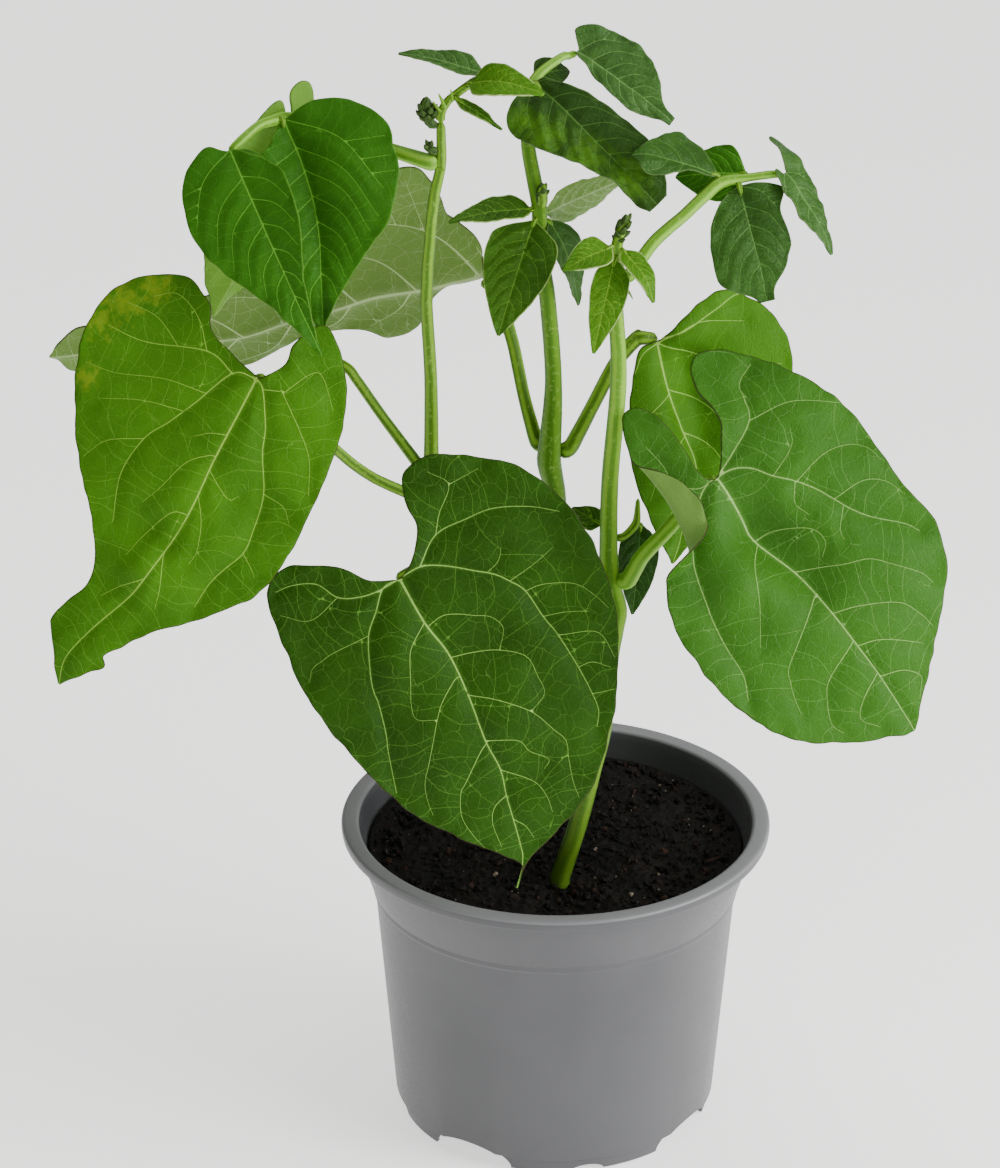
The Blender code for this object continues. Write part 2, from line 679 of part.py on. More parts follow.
def centre_on_footprint(collection):
    """Hangs every object on one empty, which centres the plant's box and stands its foot at Z = 0."""
    root = bpy.data.objects.new("plant_root", None)
    collection.objects.link(root)
    bpy.context.view_layer.update()
    graph = bpy.context.evaluated_depsgraph_get()
    spots = []
    for obj in collection.objects:
        if obj.type == "EMPTY":
            continue
        shape = obj.evaluated_get(graph)
        spots += [obj.matrix_world @ vertex.co for vertex in shape.to_mesh().vertices]
        shape.to_mesh_clear()
    for axis in range(2):
        values = [spot[axis] for spot in spots]
        root.location[axis] = -(min(values) + max(values)) / 2
    root.location.z = -FOOT_LEVEL * MM
    for obj in bpy.data.objects:
        if obj is not root:
            obj.parent = root


def main():
    clear_scene()
    collection = new_collection("potted_bush_bean")
    cutters = new_collection("cutters")
    materials = {name: new_material(name) for name in COLOURS}
    add_pot(materials["pot_plastic"], collection, cutters)
    add_soil(materials["peat"], collection)
    add_plant(materials, collection)
    centre_on_footprint(collection)


main()
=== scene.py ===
"""Dresses the potted bush bean plant: pot, peat, ribbed stalks, veined leaves, buds and the studio.

Sizes are in millimetres from the pot's axis, 90 mm under the rim, and are turned to metres once,
where a piece gets its place.
"""

import logging
import math
from collections.abc import Iterable, Sequence
from dataclasses import dataclass, replace
from enum import Enum

import bpy
import numpy as np
from mathutils import Matrix, Vector, geometry, noise


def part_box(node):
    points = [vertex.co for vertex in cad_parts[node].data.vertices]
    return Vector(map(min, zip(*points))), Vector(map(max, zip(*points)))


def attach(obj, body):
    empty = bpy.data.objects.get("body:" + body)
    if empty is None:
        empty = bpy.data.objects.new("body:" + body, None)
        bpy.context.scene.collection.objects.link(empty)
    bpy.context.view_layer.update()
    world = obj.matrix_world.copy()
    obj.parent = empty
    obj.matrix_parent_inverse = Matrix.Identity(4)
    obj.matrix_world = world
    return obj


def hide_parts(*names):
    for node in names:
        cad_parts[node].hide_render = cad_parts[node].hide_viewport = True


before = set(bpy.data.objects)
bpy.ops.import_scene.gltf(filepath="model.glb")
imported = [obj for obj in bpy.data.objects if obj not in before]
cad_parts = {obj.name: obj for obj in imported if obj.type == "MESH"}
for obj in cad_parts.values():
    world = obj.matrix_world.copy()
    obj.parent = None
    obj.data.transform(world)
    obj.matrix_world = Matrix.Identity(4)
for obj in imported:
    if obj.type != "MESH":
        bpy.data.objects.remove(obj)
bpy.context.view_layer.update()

LOG = logging.getLogger("bean_plant")
MM = 0.001
GAP = 0.35  # air that the solids keep, so that every piece lands on its own solid
SOLID_BLADE = 0.6
RIM_TOP = 90.0
RIM_RISE = 2.6  # the moulded rim stands this much above the solid's
FOOT_LEVEL = 3.5
SOIL_TOP = 85.0
ROOT_BODY = "root"

Point = tuple[float, ...]
Line = tuple[Point, ...]


def pot_place() -> Vector:
    """Where the design's zero lies in the row frame, in metres: under the middle of the pot."""
    low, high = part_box("pot")
    return Vector(((low.x + high.x) / 2, (low.y + high.y) / 2, high.z - RIM_TOP * MM))


PLACE = pot_place()


def to_world(point: Vector) -> Vector:
    """A design point in millimetres as a point of the row frame in metres."""
    return PLACE + Vector(point) * MM


# ---------------------------------------------------------------- colour and nodes


def linear(code: str) -> tuple[float, float, float, float]:
    """An sRGB hex colour as linear RGBA.

    Args:
        code: six hex digits with a leading #.

    Returns:
        The four linear values.
    """
    parts = [int(code[k : k + 2], 16) / 255 for k in (1, 3, 5)]
    return (*[p / 12.92 if p <= 0.04045 else ((p + 0.055) / 1.055) ** 2.4 for p in parts], 1.0)


def wire(tree: bpy.types.NodeTree, node: bpy.types.Node, inputs: dict) -> None:
    """Gives a node's inputs their values and links.

    Args:
        tree: the material's tree.
        node: the node.
        inputs: input name or number, to a value or to an output socket.
    """
    for key, value in inputs.items():
        if isinstance(value, bpy.types.NodeSocket):
            tree.links.new(value, node.inputs[key])
        else:
            node.inputs[key].default_value = value


def add_node(
    tree: bpy.types.NodeTree, kind: str, inputs: dict | None = None, **settings: object
) -> bpy.types.Node:
    """Adds a node to a tree.

    Args:
        tree: the material's tree.
        kind: the node's class name.
        inputs: input name or number, to a value or to an output socket.
        settings: the node's own properties.

    Returns:
        The new node.
    """
    made = tree.nodes.new(kind)
    for name, value in settings.items():
        setattr(made, name, value)
    wire(tree, made, inputs or {})
    return made


def new_material(name: str) -> tuple[bpy.types.Material, bpy.types.NodeTree, bpy.types.Node]:
    """A material with a bare Principled shader, as (material, tree, shader)."""
    material = bpy.data.materials.new(name)
    material.use_nodes = True
    tree = material.node_tree
    return material, tree, tree.nodes["Principled BSDF"]


def smooth_masks(
    tree: bpy.types.NodeTree, rows: dict[str, tuple[bpy.types.NodeSocket, float, float, float, float]]
) -> dict[str, bpy.types.NodeSocket]:
    """Masks that go smoothly from a start to an end while a value goes from low to high.

    Args:
        tree: the material's tree.
        rows: (value, low, high, start, end) for each mask's name.

    Returns:
        The masks by name.
    """
    kind, setting = "ShaderNodeMapRange", "SMOOTHSTEP"
    return {
        name: add_node(tree, kind, dict(enumerate(row)), interpolation_type=setting).outputs[0]
        for name, row in rows.items()
    }


def coated(
    tree: bpy.types.NodeTree, base: str, coats: Iterable[tuple[bpy.types.NodeSocket, str]]
) -> bpy.types.NodeSocket:
    """Lays coats over a base colour, each where its mask is 1.

    Args:
        tree: the material's tree.
        base: hex colour.
        coats: (mask, hex colour) from the lowest to the topmost.

    Returns:
        The colour that comes out.
    """
    colour = linear(base)
    for mask, coat in coats:
        mix = add_node(tree, "ShaderNodeMix", {0: mask, 6: colour, 7: linear(coat)}, data_type="RGBA")
        colour = mix.outputs[2]
    return colour


# ---------------------------------------------------------------- finishes


@dataclass(frozen=True)
class LeafFinish:
    """A bean leaf: a waxy green upper cuticle with pale veins, and a dull grey-green underside."""

    name: str
    blade: str
    bright: str  # blade colour where the light catches the tissue between the veins
    vein: str
    net: str  # finest veins
    under: str = "#6b8644"
    under_vein: str = "#9db576"
    margin: str = "#3a3c1a"
    blush: str = "#75860a"  # yellowed tissue, only where the blade asks for it
    cell: float = 4.6  # spacing of the cross veins, mm
    gloss: float = 0.46
    sheen: float = 0.15  # strength of the wax's reflection
    relief: float = 0.6  # bump of the net
    broken: float = 1.8  # how far a blush breaks up into blotches
    through: float = 0.12  # share of the light that comes through the blade

    def net_distances(
        self, tree: bpy.types.NodeTree, flat: bpy.types.NodeSocket, wobble: bpy.types.NodeSocket
    ) -> list[bpy.types.NodeSocket]:
        """How far a spot lies from the edges of the coarse and of the fine cells.

        Args:
            tree: the material's tree.
            flat: the spot in the flat blade.
            wobble: a soft noise that bends the cells' edges.

        Returns:
            The two distances, as shares of a cell.
        """
        off = add_node(tree, "ShaderNodeVectorMath", {0: wobble, 1: (0.5, 0.5, 0.5)}, operation="SUBTRACT")
        found = []
        for size, sway in ((self.cell, 4.0), (self.cell * 0.42, 2.0)):
            bent = add_node(
                tree, "ShaderNodeVectorMath", {0: off.outputs[0], 1: (sway, sway, 0.0), 2: flat},
                operation="MULTIPLY_ADD",
            )
            cells = add_node(
                tree, "ShaderNodeTexVoronoi", {"Vector": bent.outputs[0], "Scale": 1 / size},
                feature="DISTANCE_TO_EDGE", voronoi_dimensions="2D",
            )
            found.append(cells.outputs["Distance"])
        return found

    def pattern(self, tree: bpy.types.NodeTree) -> dict[str, bpy.types.NodeSocket]:
        """The leaf's masks.

        Args:
            tree: the material's tree.

        Returns:
            Rib, side and rung (the orders of veins), halo, net, mottle, margin and blush, which go from
            0 to 1, with the grain of the cuticle and its roughness.
        """
        rib, side, rung, rim, blush = (
            add_node(tree, "ShaderNodeAttribute", attribute_name=name).outputs["Fac"]
            for name in ("rib", "side", "rung", "rim", "blush")
        )
        flat = add_node(tree, "ShaderNodeAttribute", attribute_name="flat").outputs["Vector"]
        wobble, mottle, blocks, grain = (
            add_node(
                tree, "ShaderNodeTexNoise",
                {"Vector": flat, "Scale": scale, "Detail": detail, "Roughness": roughness},
            )
            for scale, detail, roughness in (
                (0.22, 1.0, 0.5), (0.06, 4.0, 0.55), (0.45, 2.0, 0.5), (1.6, 3.0, 0.5)
            )
        )
        coarse, fine = self.net_distances(tree, flat, wobble.outputs["Color"])
        patchy = add_node(
            tree, "ShaderNodeMath", {0: blocks.outputs["Fac"], 1: self.broken, 2: blush},
            operation="MULTIPLY_ADD",
        )
        shift = self.broken / 2
        masks = smooth_masks(tree, {
            "rib": (rib, 0.4, 1.1, 0.92, 0.0),
            "halo": (rib, 0.8, 5.0, 0.16, 0.0),
            "side": (side, 0.4, 1.1, 0.88, 0.0),
            "rung": (rung, 0.4, 1.1, 0.85, 0.0),
            "coarse": (coarse, 0.0065, 0.026, 1.0, 0.0),
            "fine": (fine, 0.015, 0.06, 1.0, 0.0),
            "mottle": (mottle.outputs["Fac"], 0.32, 0.68, 0.2, 0.8),
            "margin": (rim, 0.1, 0.3, 1.0, 0.0),
            "blush": (patchy.outputs[0], 0.45 + shift, 1.1 + shift, 0.0, 0.55),
            "gloss": (grain.outputs["Fac"], 0.3, 0.7, self.gloss - 0.06, self.gloss + 0.08),
        })
        faint = add_node(tree, "ShaderNodeMath", {0: masks["fine"], 1: 0.22}, operation="MULTIPLY")
        net = add_node(
            tree, "ShaderNodeMath", {0: masks["coarse"], 1: faint.outputs[0]}, operation="MAXIMUM"
        )
        return {**masks, "net": net.outputs[0], "grain": grain.outputs["Fac"]}

    def dress(
        self, tree: bpy.types.NodeTree, shader: bpy.types.Node, blade: str, bright: str, vein: str, net: str
    ) -> None:
        """Wires the colours, the relief and the light that comes through the blade.

        Args:
            tree: the material's tree.
            shader: its Principled shader.
            blade: hex colour of the tissue.
            bright: hex colour where the light catches the tissue.
            vein: hex colour of main and side veins.
            net: hex colour of the finer veins.
        """
        masks = self.pattern(tree)
        soft = add_node(tree, "ShaderNodeMath", {0: masks["net"], 1: 0.36}, operation="MULTIPLY")
        colour = coated(tree, blade, (
            (masks["mottle"], bright), (masks["blush"], self.blush), (soft.outputs[0], net),
            (masks["halo"], net), (masks["rung"], net), (masks["side"], vein), (masks["rib"], vein),
            (masks["margin"], self.margin),
        ))
        height = add_node(
            tree, "ShaderNodeMath", {0: masks["net"], 1: -1.0, 2: masks["grain"]}, operation="MULTIPLY_ADD"
        )
        bump = add_node(
            tree, "ShaderNodeBump",
            {"Strength": self.relief, "Distance": 0.4 * MM, "Height": height.outputs[0]},
        )
        wire(tree, shader, {
            "Base Color": colour, "Roughness": masks["gloss"], "Normal": bump.outputs[0], "IOR": 1.45,
            "Specular IOR Level": self.sheen,
        })
        passed = add_node(tree, "ShaderNodeBsdfTranslucent", {"Color": colour})
        both = add_node(
            tree, "ShaderNodeMixShader", {0: self.through, 1: shader.outputs[0], 2: passed.outputs[0]}
        )
        tree.links.new(both.outputs[0], tree.nodes["Material Output"].inputs["Surface"])

    def materials(self) -> list[bpy.types.Material]:
        """The upper and the lower material."""
        made = []
        for label, *colours in (
            ("cuticle", self.blade, self.bright, self.vein, self.net),
            ("underside", self.under, self.under, self.under_vein, self.under_vein),
        ):
            material, tree, shader = new_material(f"leaf_{label}_{self.name}")
            self.dress(tree, shader, *colours)
            made.append(material)
        return made


class LeafTone(Enum):
    """The finishes that the leaves of this plant have."""

    DEEP = LeafFinish("deep", "#1e4003", "#285106", "#98c65c", "#629434", sheen=0.11)
    SUNNY = LeafFinish(
        "sunny", "#326204", "#437a07", "#a0cc50", "#74a834", blush="#7d9214", sheen=0.12,
    )
    BLUISH = LeafFinish(
        "bluish", "#326414", "#3b7018", "#a4ce70", "#76a850", under="#6c9440", under_vein="#8cb060",
    )
    FRESH = LeafFinish(
        "fresh", "#265a04", "#316c09", "#68a834", "#4a8620", under="#70a235", under_vein="#96bc5e",
        margin="#4d7c20", cell=3.8, sheen=0.13,
    )
    BACK = LeafFinish(
        "back", "#3a6c08", "#447a0c", "#9cc858", "#6a9c30", under="#698a3e", under_vein="#bcd296",
        sheen=0.1,
    )
    TOP = LeafFinish(
        "top", "#22430c", "#345c1b", "#54803a", "#3f6826", blush="#447a10", margin="#4c6a34", cell=3.4,
        relief=0.8, gloss=0.4,
    )
    # painted light: the colours of TOP made lighter, for the crown's leaflets that catch the light
    CREST = LeafFinish(
        "crest_painted_lit", "#2c5117", "#436c2a", "#66904a", "#4e7834", margin="#5c7a44", cell=3.4, relief=0.8,
        sheen=0.2, gloss=0.4,
    )
    YOUNG = LeafFinish(
        "young", "#2a4e0a", "#3f6c15", "#6c9a34", "#558226", under="#678a40", under_vein="#a0b67c",
        margin="#88a850", cell=2.4, relief=0.8,
    )
    TENDER = LeafFinish(
        "tender", "#3d700b", "#578c14", "#7eac34", "#689620", under="#84a858", under_vein="#a8c084",
        margin="#a8c074", cell=2.0, relief=0.9,
    )
    DUSK = LeafFinish(
        "dusk", "#1b3706", "#2a4a0d", "#4c742c", "#34591c", blush="#548a12", margin="#4c6a34", cell=3.4,
        relief=0.8, broken=0.6,
    )

    def __init__(self, finish: LeafFinish) -> None:
        """Keeps the finish, and no materials until they are first asked for."""
        self.finish = finish
        self.made: list[bpy.types.Material] = []

    def materials(self) -> list[bpy.types.Material]:
        """The two materials of the finish, made once."""
        if not self.made:
            self.made = self.finish.materials()
        return self.made


@dataclass(frozen=True)
class StalkSkin:
    """Bean stalk skin: smooth, slightly glossy, with pale ridges and darker furrows along it."""

    name: str = "stalk_skin"
    ridge: str = "#74a028"
    furrow: str = "#466c16"
    pale: str = "#98ba56"
    low: str = "#2c3c12"  # painted shade: the stalk's colour near the peat
    stripes: float = 5.0

    def material(self) -> bpy.types.Material:
        """The skin, with its stripes round the stalk; the attribute way paints shade on it near the peat."""
        material, tree, shader = new_material(self.name)
        turn, way = (
            add_node(tree, "ShaderNodeAttribute", attribute_name=name).outputs["Fac"]
            for name in ("turn", "way")
        )
        place = add_node(tree, "ShaderNodeTexCoord").outputs["Object"]
        drift, cells = (
            add_node(
                tree, "ShaderNodeTexNoise", {"Vector": place, "Scale": scale, "Detail": detail}
            ).outputs["Fac"]
            for scale, detail in ((60.0, 3.0), (900.0, 2.0))
        )
        angle = add_node(tree, "ShaderNodeMath", {0: drift, 1: 0.12, 2: turn}, operation="MULTIPLY_ADD")
        phase = add_node(
            tree, "ShaderNodeMath", {0: angle.outputs[0], 1: self.stripes * math.tau}, operation="MULTIPLY"
        )
        wave = add_node(tree, "ShaderNodeMath", {0: phase.outputs[0]}, operation="SINE")
        masks = smooth_masks(tree, {
            "stripe": (wave.outputs[0], -0.9, 0.9, 0.0, 1.0),
            "fleck": (cells, 0.52, 0.75, 0.0, 0.35),
        })
        # painted shade: the low colour is laid where way is high, near the peat
        colour = coated(tree, self.furrow, (
            (masks["stripe"], self.ridge), (masks["fleck"], self.pale), (way, self.low),
        ))
        bump = add_node(tree, "ShaderNodeBump", {"Strength": 0.35, "Distance": 0.2 * MM, "Height": cells})
        wire(tree, shader, {
            "Base Color": colour, "Normal": bump.outputs[0], "Roughness": 0.45, "IOR": 1.45,
            "Specular IOR Level": 0.16,
        })
        return material


class StalkTone(Enum):
    """The stalk skins: PALE and LIGHT are lighter and SHADED a darker copy of the middle skin, with light and
    shade painted in, and BUD is the skin of the bud scales.
    """

    PALE = StalkSkin("stalk_skin_painted_brightest", "#84b63a", "#5a8c1e")
    LIGHT = StalkSkin("stalk_skin_painted_lit", "#7cac2c", "#50801a")
    MIDDLE = StalkSkin("stalk_skin_middle")
    SHADED = StalkSkin("stalk_skin_painted_shade", "#5a8618", "#406c0e")
    BUD = StalkSkin("bud_scale_skin", "#3c5820", "#24380f", "#647f45")

    def __init__(self, skin: StalkSkin) -> None:
        """Keeps the skin, and no material until it is first asked for."""
        self.skin = skin
        self.made: bpy.types.Material | None = None

    def material(self) -> bpy.types.Material:
        """The skin's material, made once."""
        if self.made is None:
            self.made = self.skin.material()
        return self.made


@dataclass(frozen=True)
class PotPlastic:
    """Injection-moulded polypropylene: satin grey, with a fine eggshell texture and faint flow lines."""

    body: str = "#4d4d50"
    dark: str = "#464649"
    rim_top_painted_light: str = "#79797b"  # painted light: the top of the rim is coloured paler, standing in for the light that falls on it
    roughness: float = 0.42
    rim: float = RIM_TOP + RIM_RISE

    def material(self) -> bpy.types.Material:
        """The plastic; its grain is 0.5 mm, and the flow clouds are 30 mm."""
        material, tree, shader = new_material("polypropylene_grey")
        place = add_node(tree, "ShaderNodeTexCoord").outputs["Object"]
        cloud, grain = (
            add_node(
                tree, "ShaderNodeTexNoise", {"Vector": place, "Scale": scale, "Detail": detail}
            ).outputs["Fac"]
            for scale, detail in ((30.0, 3.0), (2000.0, 2.0))
        )
        height = add_node(tree, "ShaderNodeSeparateXYZ", {0: place}).outputs[2]
        rim = PLACE.z + self.rim * MM
        masks = smooth_masks(tree, {
            "cloud": (cloud, 0.3, 0.7, 0.0, 1.0),
            # painted light: the mask that makes the top of the rim paler
            "rim_top_painted_light_mask": (height, rim - 1.1 * MM, rim - 0.5 * MM, 0.0, 1.0),
            "gloss": (grain, 0.3, 0.7, self.roughness - 0.05, self.roughness + 0.07),
        })
        colour = coated(tree, self.dark, ((masks["cloud"], self.body), (masks["rim_top_painted_light_mask"], self.rim_top_painted_light)))
        bump = add_node(tree, "ShaderNodeBump", {"Strength": 0.12, "Distance": 0.1 * MM, "Height": grain})
        wire(tree, shader, {
            "Base Color": colour, "Roughness": masks["gloss"], "Normal": bump.outputs[0], "IOR": 1.49,
        })
        return material


@dataclass(frozen=True)
class Peat:
    """Moist peat: nearly black crumbs and fibres, with some brown bark and a few pale grains."""

    dark: str = "#070504"
    brown: str = "#1c130d"
    bark: str = "#332016"
    grit: str = "#857868"

    def material(self) -> bpy.types.Material:
        """The peat; crumbs are 1 to 3 mm, and the attribute tone picks out single ones."""
        material, tree, shader = new_material("moist_peat")
        place = add_node(tree, "ShaderNodeTexCoord").outputs["Object"]
        tone = add_node(tree, "ShaderNodeAttribute", attribute_name="tone").outputs["Fac"]
        coarse = add_node(
            tree, "ShaderNodeTexNoise", {"Vector": place, "Scale": 260.0, "Detail": 6.0, "Roughness": 0.7}
        ).outputs["Fac"]
        specks = add_node(tree, "ShaderNodeTexVoronoi", {"Vector": place, "Scale": 520.0})
        gap = specks.outputs["Distance"]
        chance = add_node(tree, "ShaderNodeSeparateColor", {0: specks.outputs["Color"]}).outputs[0]
        masks = smooth_masks(tree, {
            "crumb": (coarse, 0.45, 0.75, 0.0, 1.0),
            "speck": (gap, 0.10, 0.18, 0.7, 0.0),
            "dot": (gap, 0.07, 0.13, 1.0, 0.0),
            "chosen": (chance, 0.8, 0.86, 0.0, 1.0),
            "bark": (tone, 0.6, 0.9, 0.0, 0.8),
            "stone": (tone, 0.93, 1.0, 0.0, 1.0),
        })
        dots = add_node(
            tree, "ShaderNodeMath", {0: masks["dot"], 1: masks["chosen"]}, operation="MULTIPLY"
        )
        colour = coated(tree, self.dark, (
            (masks["crumb"], self.brown), (masks["speck"], self.bark), (dots.outputs[0], self.grit),
            (masks["bark"], self.bark), (masks["stone"], self.grit),
        ))
        bump = add_node(tree, "ShaderNodeBump", {"Strength": 1.0, "Distance": 0.8 * MM, "Height": coarse})
        wire(tree, shader, {
            "Base Color": colour, "Normal": bump.outputs[0], "Roughness": 0.8, "Specular IOR Level": 0.2,
        })
        return material


# ---------------------------------------------------------------- shared modelling helpers


def deselect() -> None:
    """Leaves nothing selected, so that an operator acts only on what comes next."""
    for obj in bpy.context.selected_objects:
        obj.select_set(False)


def take(obj: bpy.types.Object) -> bpy.types.Object:
    """Makes the object the only selected and the active one."""
    deselect()
    obj.select_set(True)
    bpy.context.view_layer.objects.active = obj
    return obj


def linked(name: str, data: bpy.types.ID) -> bpy.types.Object:
    """A new object in the scene, for a mesh, a lamp or a camera."""
    obj = bpy.data.objects.new(name, data)
    bpy.context.scene.collection.objects.link(obj)
    return obj


def apply_modifier(obj: bpy.types.Object, kind: str, **settings: object) -> None:
    """Adds a modifier with its settings and applies it."""
    take(obj)
    modifier = obj.modifiers.new(kind.lower(), kind)
    for name, value in settings.items():
        setattr(modifier, name, value)
    bpy.ops.object.modifier_apply(modifier=modifier.name)


def settle(obj: bpy.types.Object) -> None:
    """Puts the object's place, turn and scale into its mesh."""
    obj.data.transform(obj.matrix_world)
    obj.matrix_world = Matrix.Identity(4)


def keep(obj: bpy.types.Object, slot: str, *nodes: str) -> bpy.types.Object:
    """Hangs a finished piece on the plant.

    Args:
        obj: the piece, with its place in its mesh.
        slot: the record's material slot; not used.
        nodes: the solids that the piece stands for.

    Returns:
        The piece.
    """
    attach(obj, ROOT_BODY)
    if nodes:
        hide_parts(*nodes)
    LOG.info("%s: %d faces, for %s", obj.name, len(obj.data.polygons), ", ".join(nodes) or "itself")
    return obj


def smooth_path(points: Sequence[Point], step: float) -> list[Vector]:
    """Points about one step apart on the Catmull-Rom curve through the given points.

    Args:
        points: two or three numbers each.
        step: spacing, in the points' own unit.

    Returns:
        The curve's points, the last given one included.
    """
    rows = [Vector(p) for p in points]
    rows = [rows[0] * 2 - rows[1], *rows, rows[-1] * 2 - rows[-2]]
    path = []
    for a, b, c, d in zip(rows, rows[1:], rows[2:], rows[3:]):
        count = max(1, round((b - c).length / step))
        for k in range(count):
            t = k / count
            path.append(
                0.5 * (2 * b + (c - a) * t + (2 * a - 5 * b + 4 * c - d) * t**2
                       + (3 * b - a - 3 * c + d) * t**3)
            )
    path.append(rows[-2])
    return path


def distances_along(points: Sequence[Vector]) -> np.ndarray:
    """How far along their line each of the points lies."""
    return np.cumsum([0.0, *((b - a).length for a, b in zip(points, points[1:]))])


def heading(degrees: float) -> Vector:
    """The unit vector in the flat blade that points that far round from the midrib."""
    angle = math.radians(degrees)
    return Vector((math.cos(angle), math.sin(angle)))


def step_between(low: float, high: float, value: np.ndarray | float) -> np.ndarray | float:
    """A smooth step from 0 at low to 1 at high."""
    t = np.clip((value - low) / (high - low), 0.0, 1.0)
    return t * t * (3 - 2 * t)


def set_values(mesh: bpy.types.Mesh, name: str, values: np.ndarray) -> None:
    """Writes one number for each point as a named attribute."""
    attribute = mesh.attributes.new(name, "FLOAT", "POINT")
    attribute.data.foreach_set("value", np.asarray(values, np.float32))


# ---------------------------------------------------------------- stalks


@dataclass(frozen=True)
class Stalk:
    """A stem, petiole or rachis, swept along the middle line of its solid."""

    points: Line
    radii: tuple[float, ...]
    step: float = 6.0
    seat: str = ""  # the stalk that this one grows from
    carries: str = ""  # the blade at its far end
    rise: float = 0.035  # height of the ridges, as a share of the radius
    tone: StalkTone = StalkTone.MIDDLE
    ridges: int = 5
    sides: int = 30
    spacing: float = 0.8  # between the rings of the mesh
    blunt: float = 0.04  # square of the share of the radius that the ends keep

    def middle(self) -> tuple[list[Vector], list[float]]:
        """The solid's middle line and its radius at each point."""
        rows = [Vector(p) for p in self.points]
        radii: list[float] = []
        for a, b, start, end in zip(rows, rows[1:], self.radii, self.radii[1:]):
            count = max(1, round((a - b).length / self.step))
            radii += [start + (end - start) * k / count for k in range(count)]
        return smooth_path(self.points, self.step), [*radii, self.radii[-1]]

    def beside(self, aim: Vector, clear: float) -> Vector:
        """The point that lies clear off the skin, on the side of aim."""
        points, radii = self.middle()
        found = []
        for a, b, first, last in zip(points, points[1:], radii, radii[1:]):
            axis = b - a
            t = min(1.0, max(0.0, (aim - a).dot(axis) / axis.length_squared))
            spot = a + axis * t
            found.append(((aim - spot).length, spot, first + (last - first) * t))
        _, spot, radius = min(found, key=lambda row: row[0])
        return spot + (aim - spot).normalized() * (radius + clear)

    def fine_line(self) -> tuple[list[Vector], np.ndarray]:
        """Closely spaced points of the middle line and their radii, with both ends rounded off."""
        line, sizes = self.middle()
        fine = smooth_path([tuple(p) for p in line], self.spacing)
        spans, lengths = distances_along(line), distances_along(fine)
        total = lengths[-1]
        radii = np.interp(lengths / total, spans / spans[-1], sizes)
        radii = np.convolve(np.pad(radii, 2, mode="edge"), np.ones(5) / 5, mode="valid")
        for k, gone in enumerate(lengths):
            for rest in (gone, total - gone):
                if rest < radii[k]:
                    radii[k] *= math.sqrt(max(self.blunt, 1 - (1 - rest / radii[k]) ** 2))
                    break
        return fine, radii

    def build(self, name: str) -> bpy.types.Object:
        """The stalk as a fine ribbed tube with round ends.

        Args:
            name: the piece's name.

        Returns:
            The piece.
        """
        line, radii = self.fine_line()
        frames = frames_along(line)
        obj = straight_tube(name, self.sides, len(line))
        mesh = obj.data
        turns, ways = [], []
        for vertex in mesh.vertices:
            angle = math.atan2(vertex.co.y, vertex.co.x)
            k = round((vertex.co.z + 0.5) * (len(line) - 1))
            across, up = frames[k]
            reach = radii[k] * (1 + self.rise * math.sin(self.ridges * angle))
            turns.append(abs(angle) / math.tau)
            # painted shade: way rises from 0 at 62 mm above the peat to 0.75 at the peat
            ways.append(0.75 * step_between(SOIL_TOP + 62.0, SOIL_TOP, line[k].z))
            vertex.co = to_world(line[k] + (across * math.cos(angle) + up * math.sin(angle)) * reach)
        set_values(mesh, "turn", turns)
        set_values(mesh, "way", ways)
        mesh.materials.append(self.tone.material())
        mesh.shade_smooth()
        return obj


def frames_along(line: Sequence[Vector]) -> list[tuple[Vector, Vector]]:
    """Two unit vectors across a line at each of its points, without a twist between them."""
    side = (line[1] - line[0]).normalized().cross(Vector((0.3, 1.0, 0.2))).normalized()
    frames = []
    for k in range(len(line)):
        tangent = (line[min(k + 1, len(line) - 1)] - line[max(k - 1, 0)]).normalized()
        side = (side - tangent * side.dot(tangent)).normalized()
        frames.append((side, tangent.cross(side)))
    return frames


def straight_tube(name: str, sides: int, rings: int) -> bpy.types.Object:
    """A cylinder of radius and height 1 about the origin, cut across into rings.

    Args:
        name: the piece's name.
        sides: points of each ring.
        rings: their number, both ends included.

    Returns:
        The tube.
    """
    deselect()
    bpy.ops.mesh.primitive_cylinder_add(vertices=sides, radius=1.0, depth=1.0, end_fill_type="NGON")
    obj = bpy.context.object
    obj.name = name
    mesh = obj.data
    bpy.ops.object.mode_set(mode="EDIT")
    bpy.ops.mesh.select_all(action="DESELECT")
    bpy.ops.mesh.select_mode(type="EDGE")
    bpy.ops.object.mode_set(mode="OBJECT")
    for edge in mesh.edges:
        low, high = (mesh.vertices[v].co.z for v in edge.vertices)
        edge.select = abs(low - high) > 0.5
    bpy.ops.object.mode_set(mode="EDIT")
    bpy.ops.mesh.subdivide(number_cuts=rings - 2)
    bpy.ops.object.mode_set(mode="OBJECT")
    return obj


# ---------------------------------------------------------------- leaf blades


@dataclass(frozen=True)
class Vein:
    """A vein as (along, across) points in the flat blade, with its half width at both ends."""

    path: Line
    start: float = 0.2
    end: float = 0.1
    order: int = 1  # 0 for main veins, 1 for side veins, 2 for rungs

    def drawn_at(self, pitch: float) -> np.ndarray:
        """Its points, that far apart."""
        return np.array([tuple(p) for p in smooth_path(self.path, pitch)])


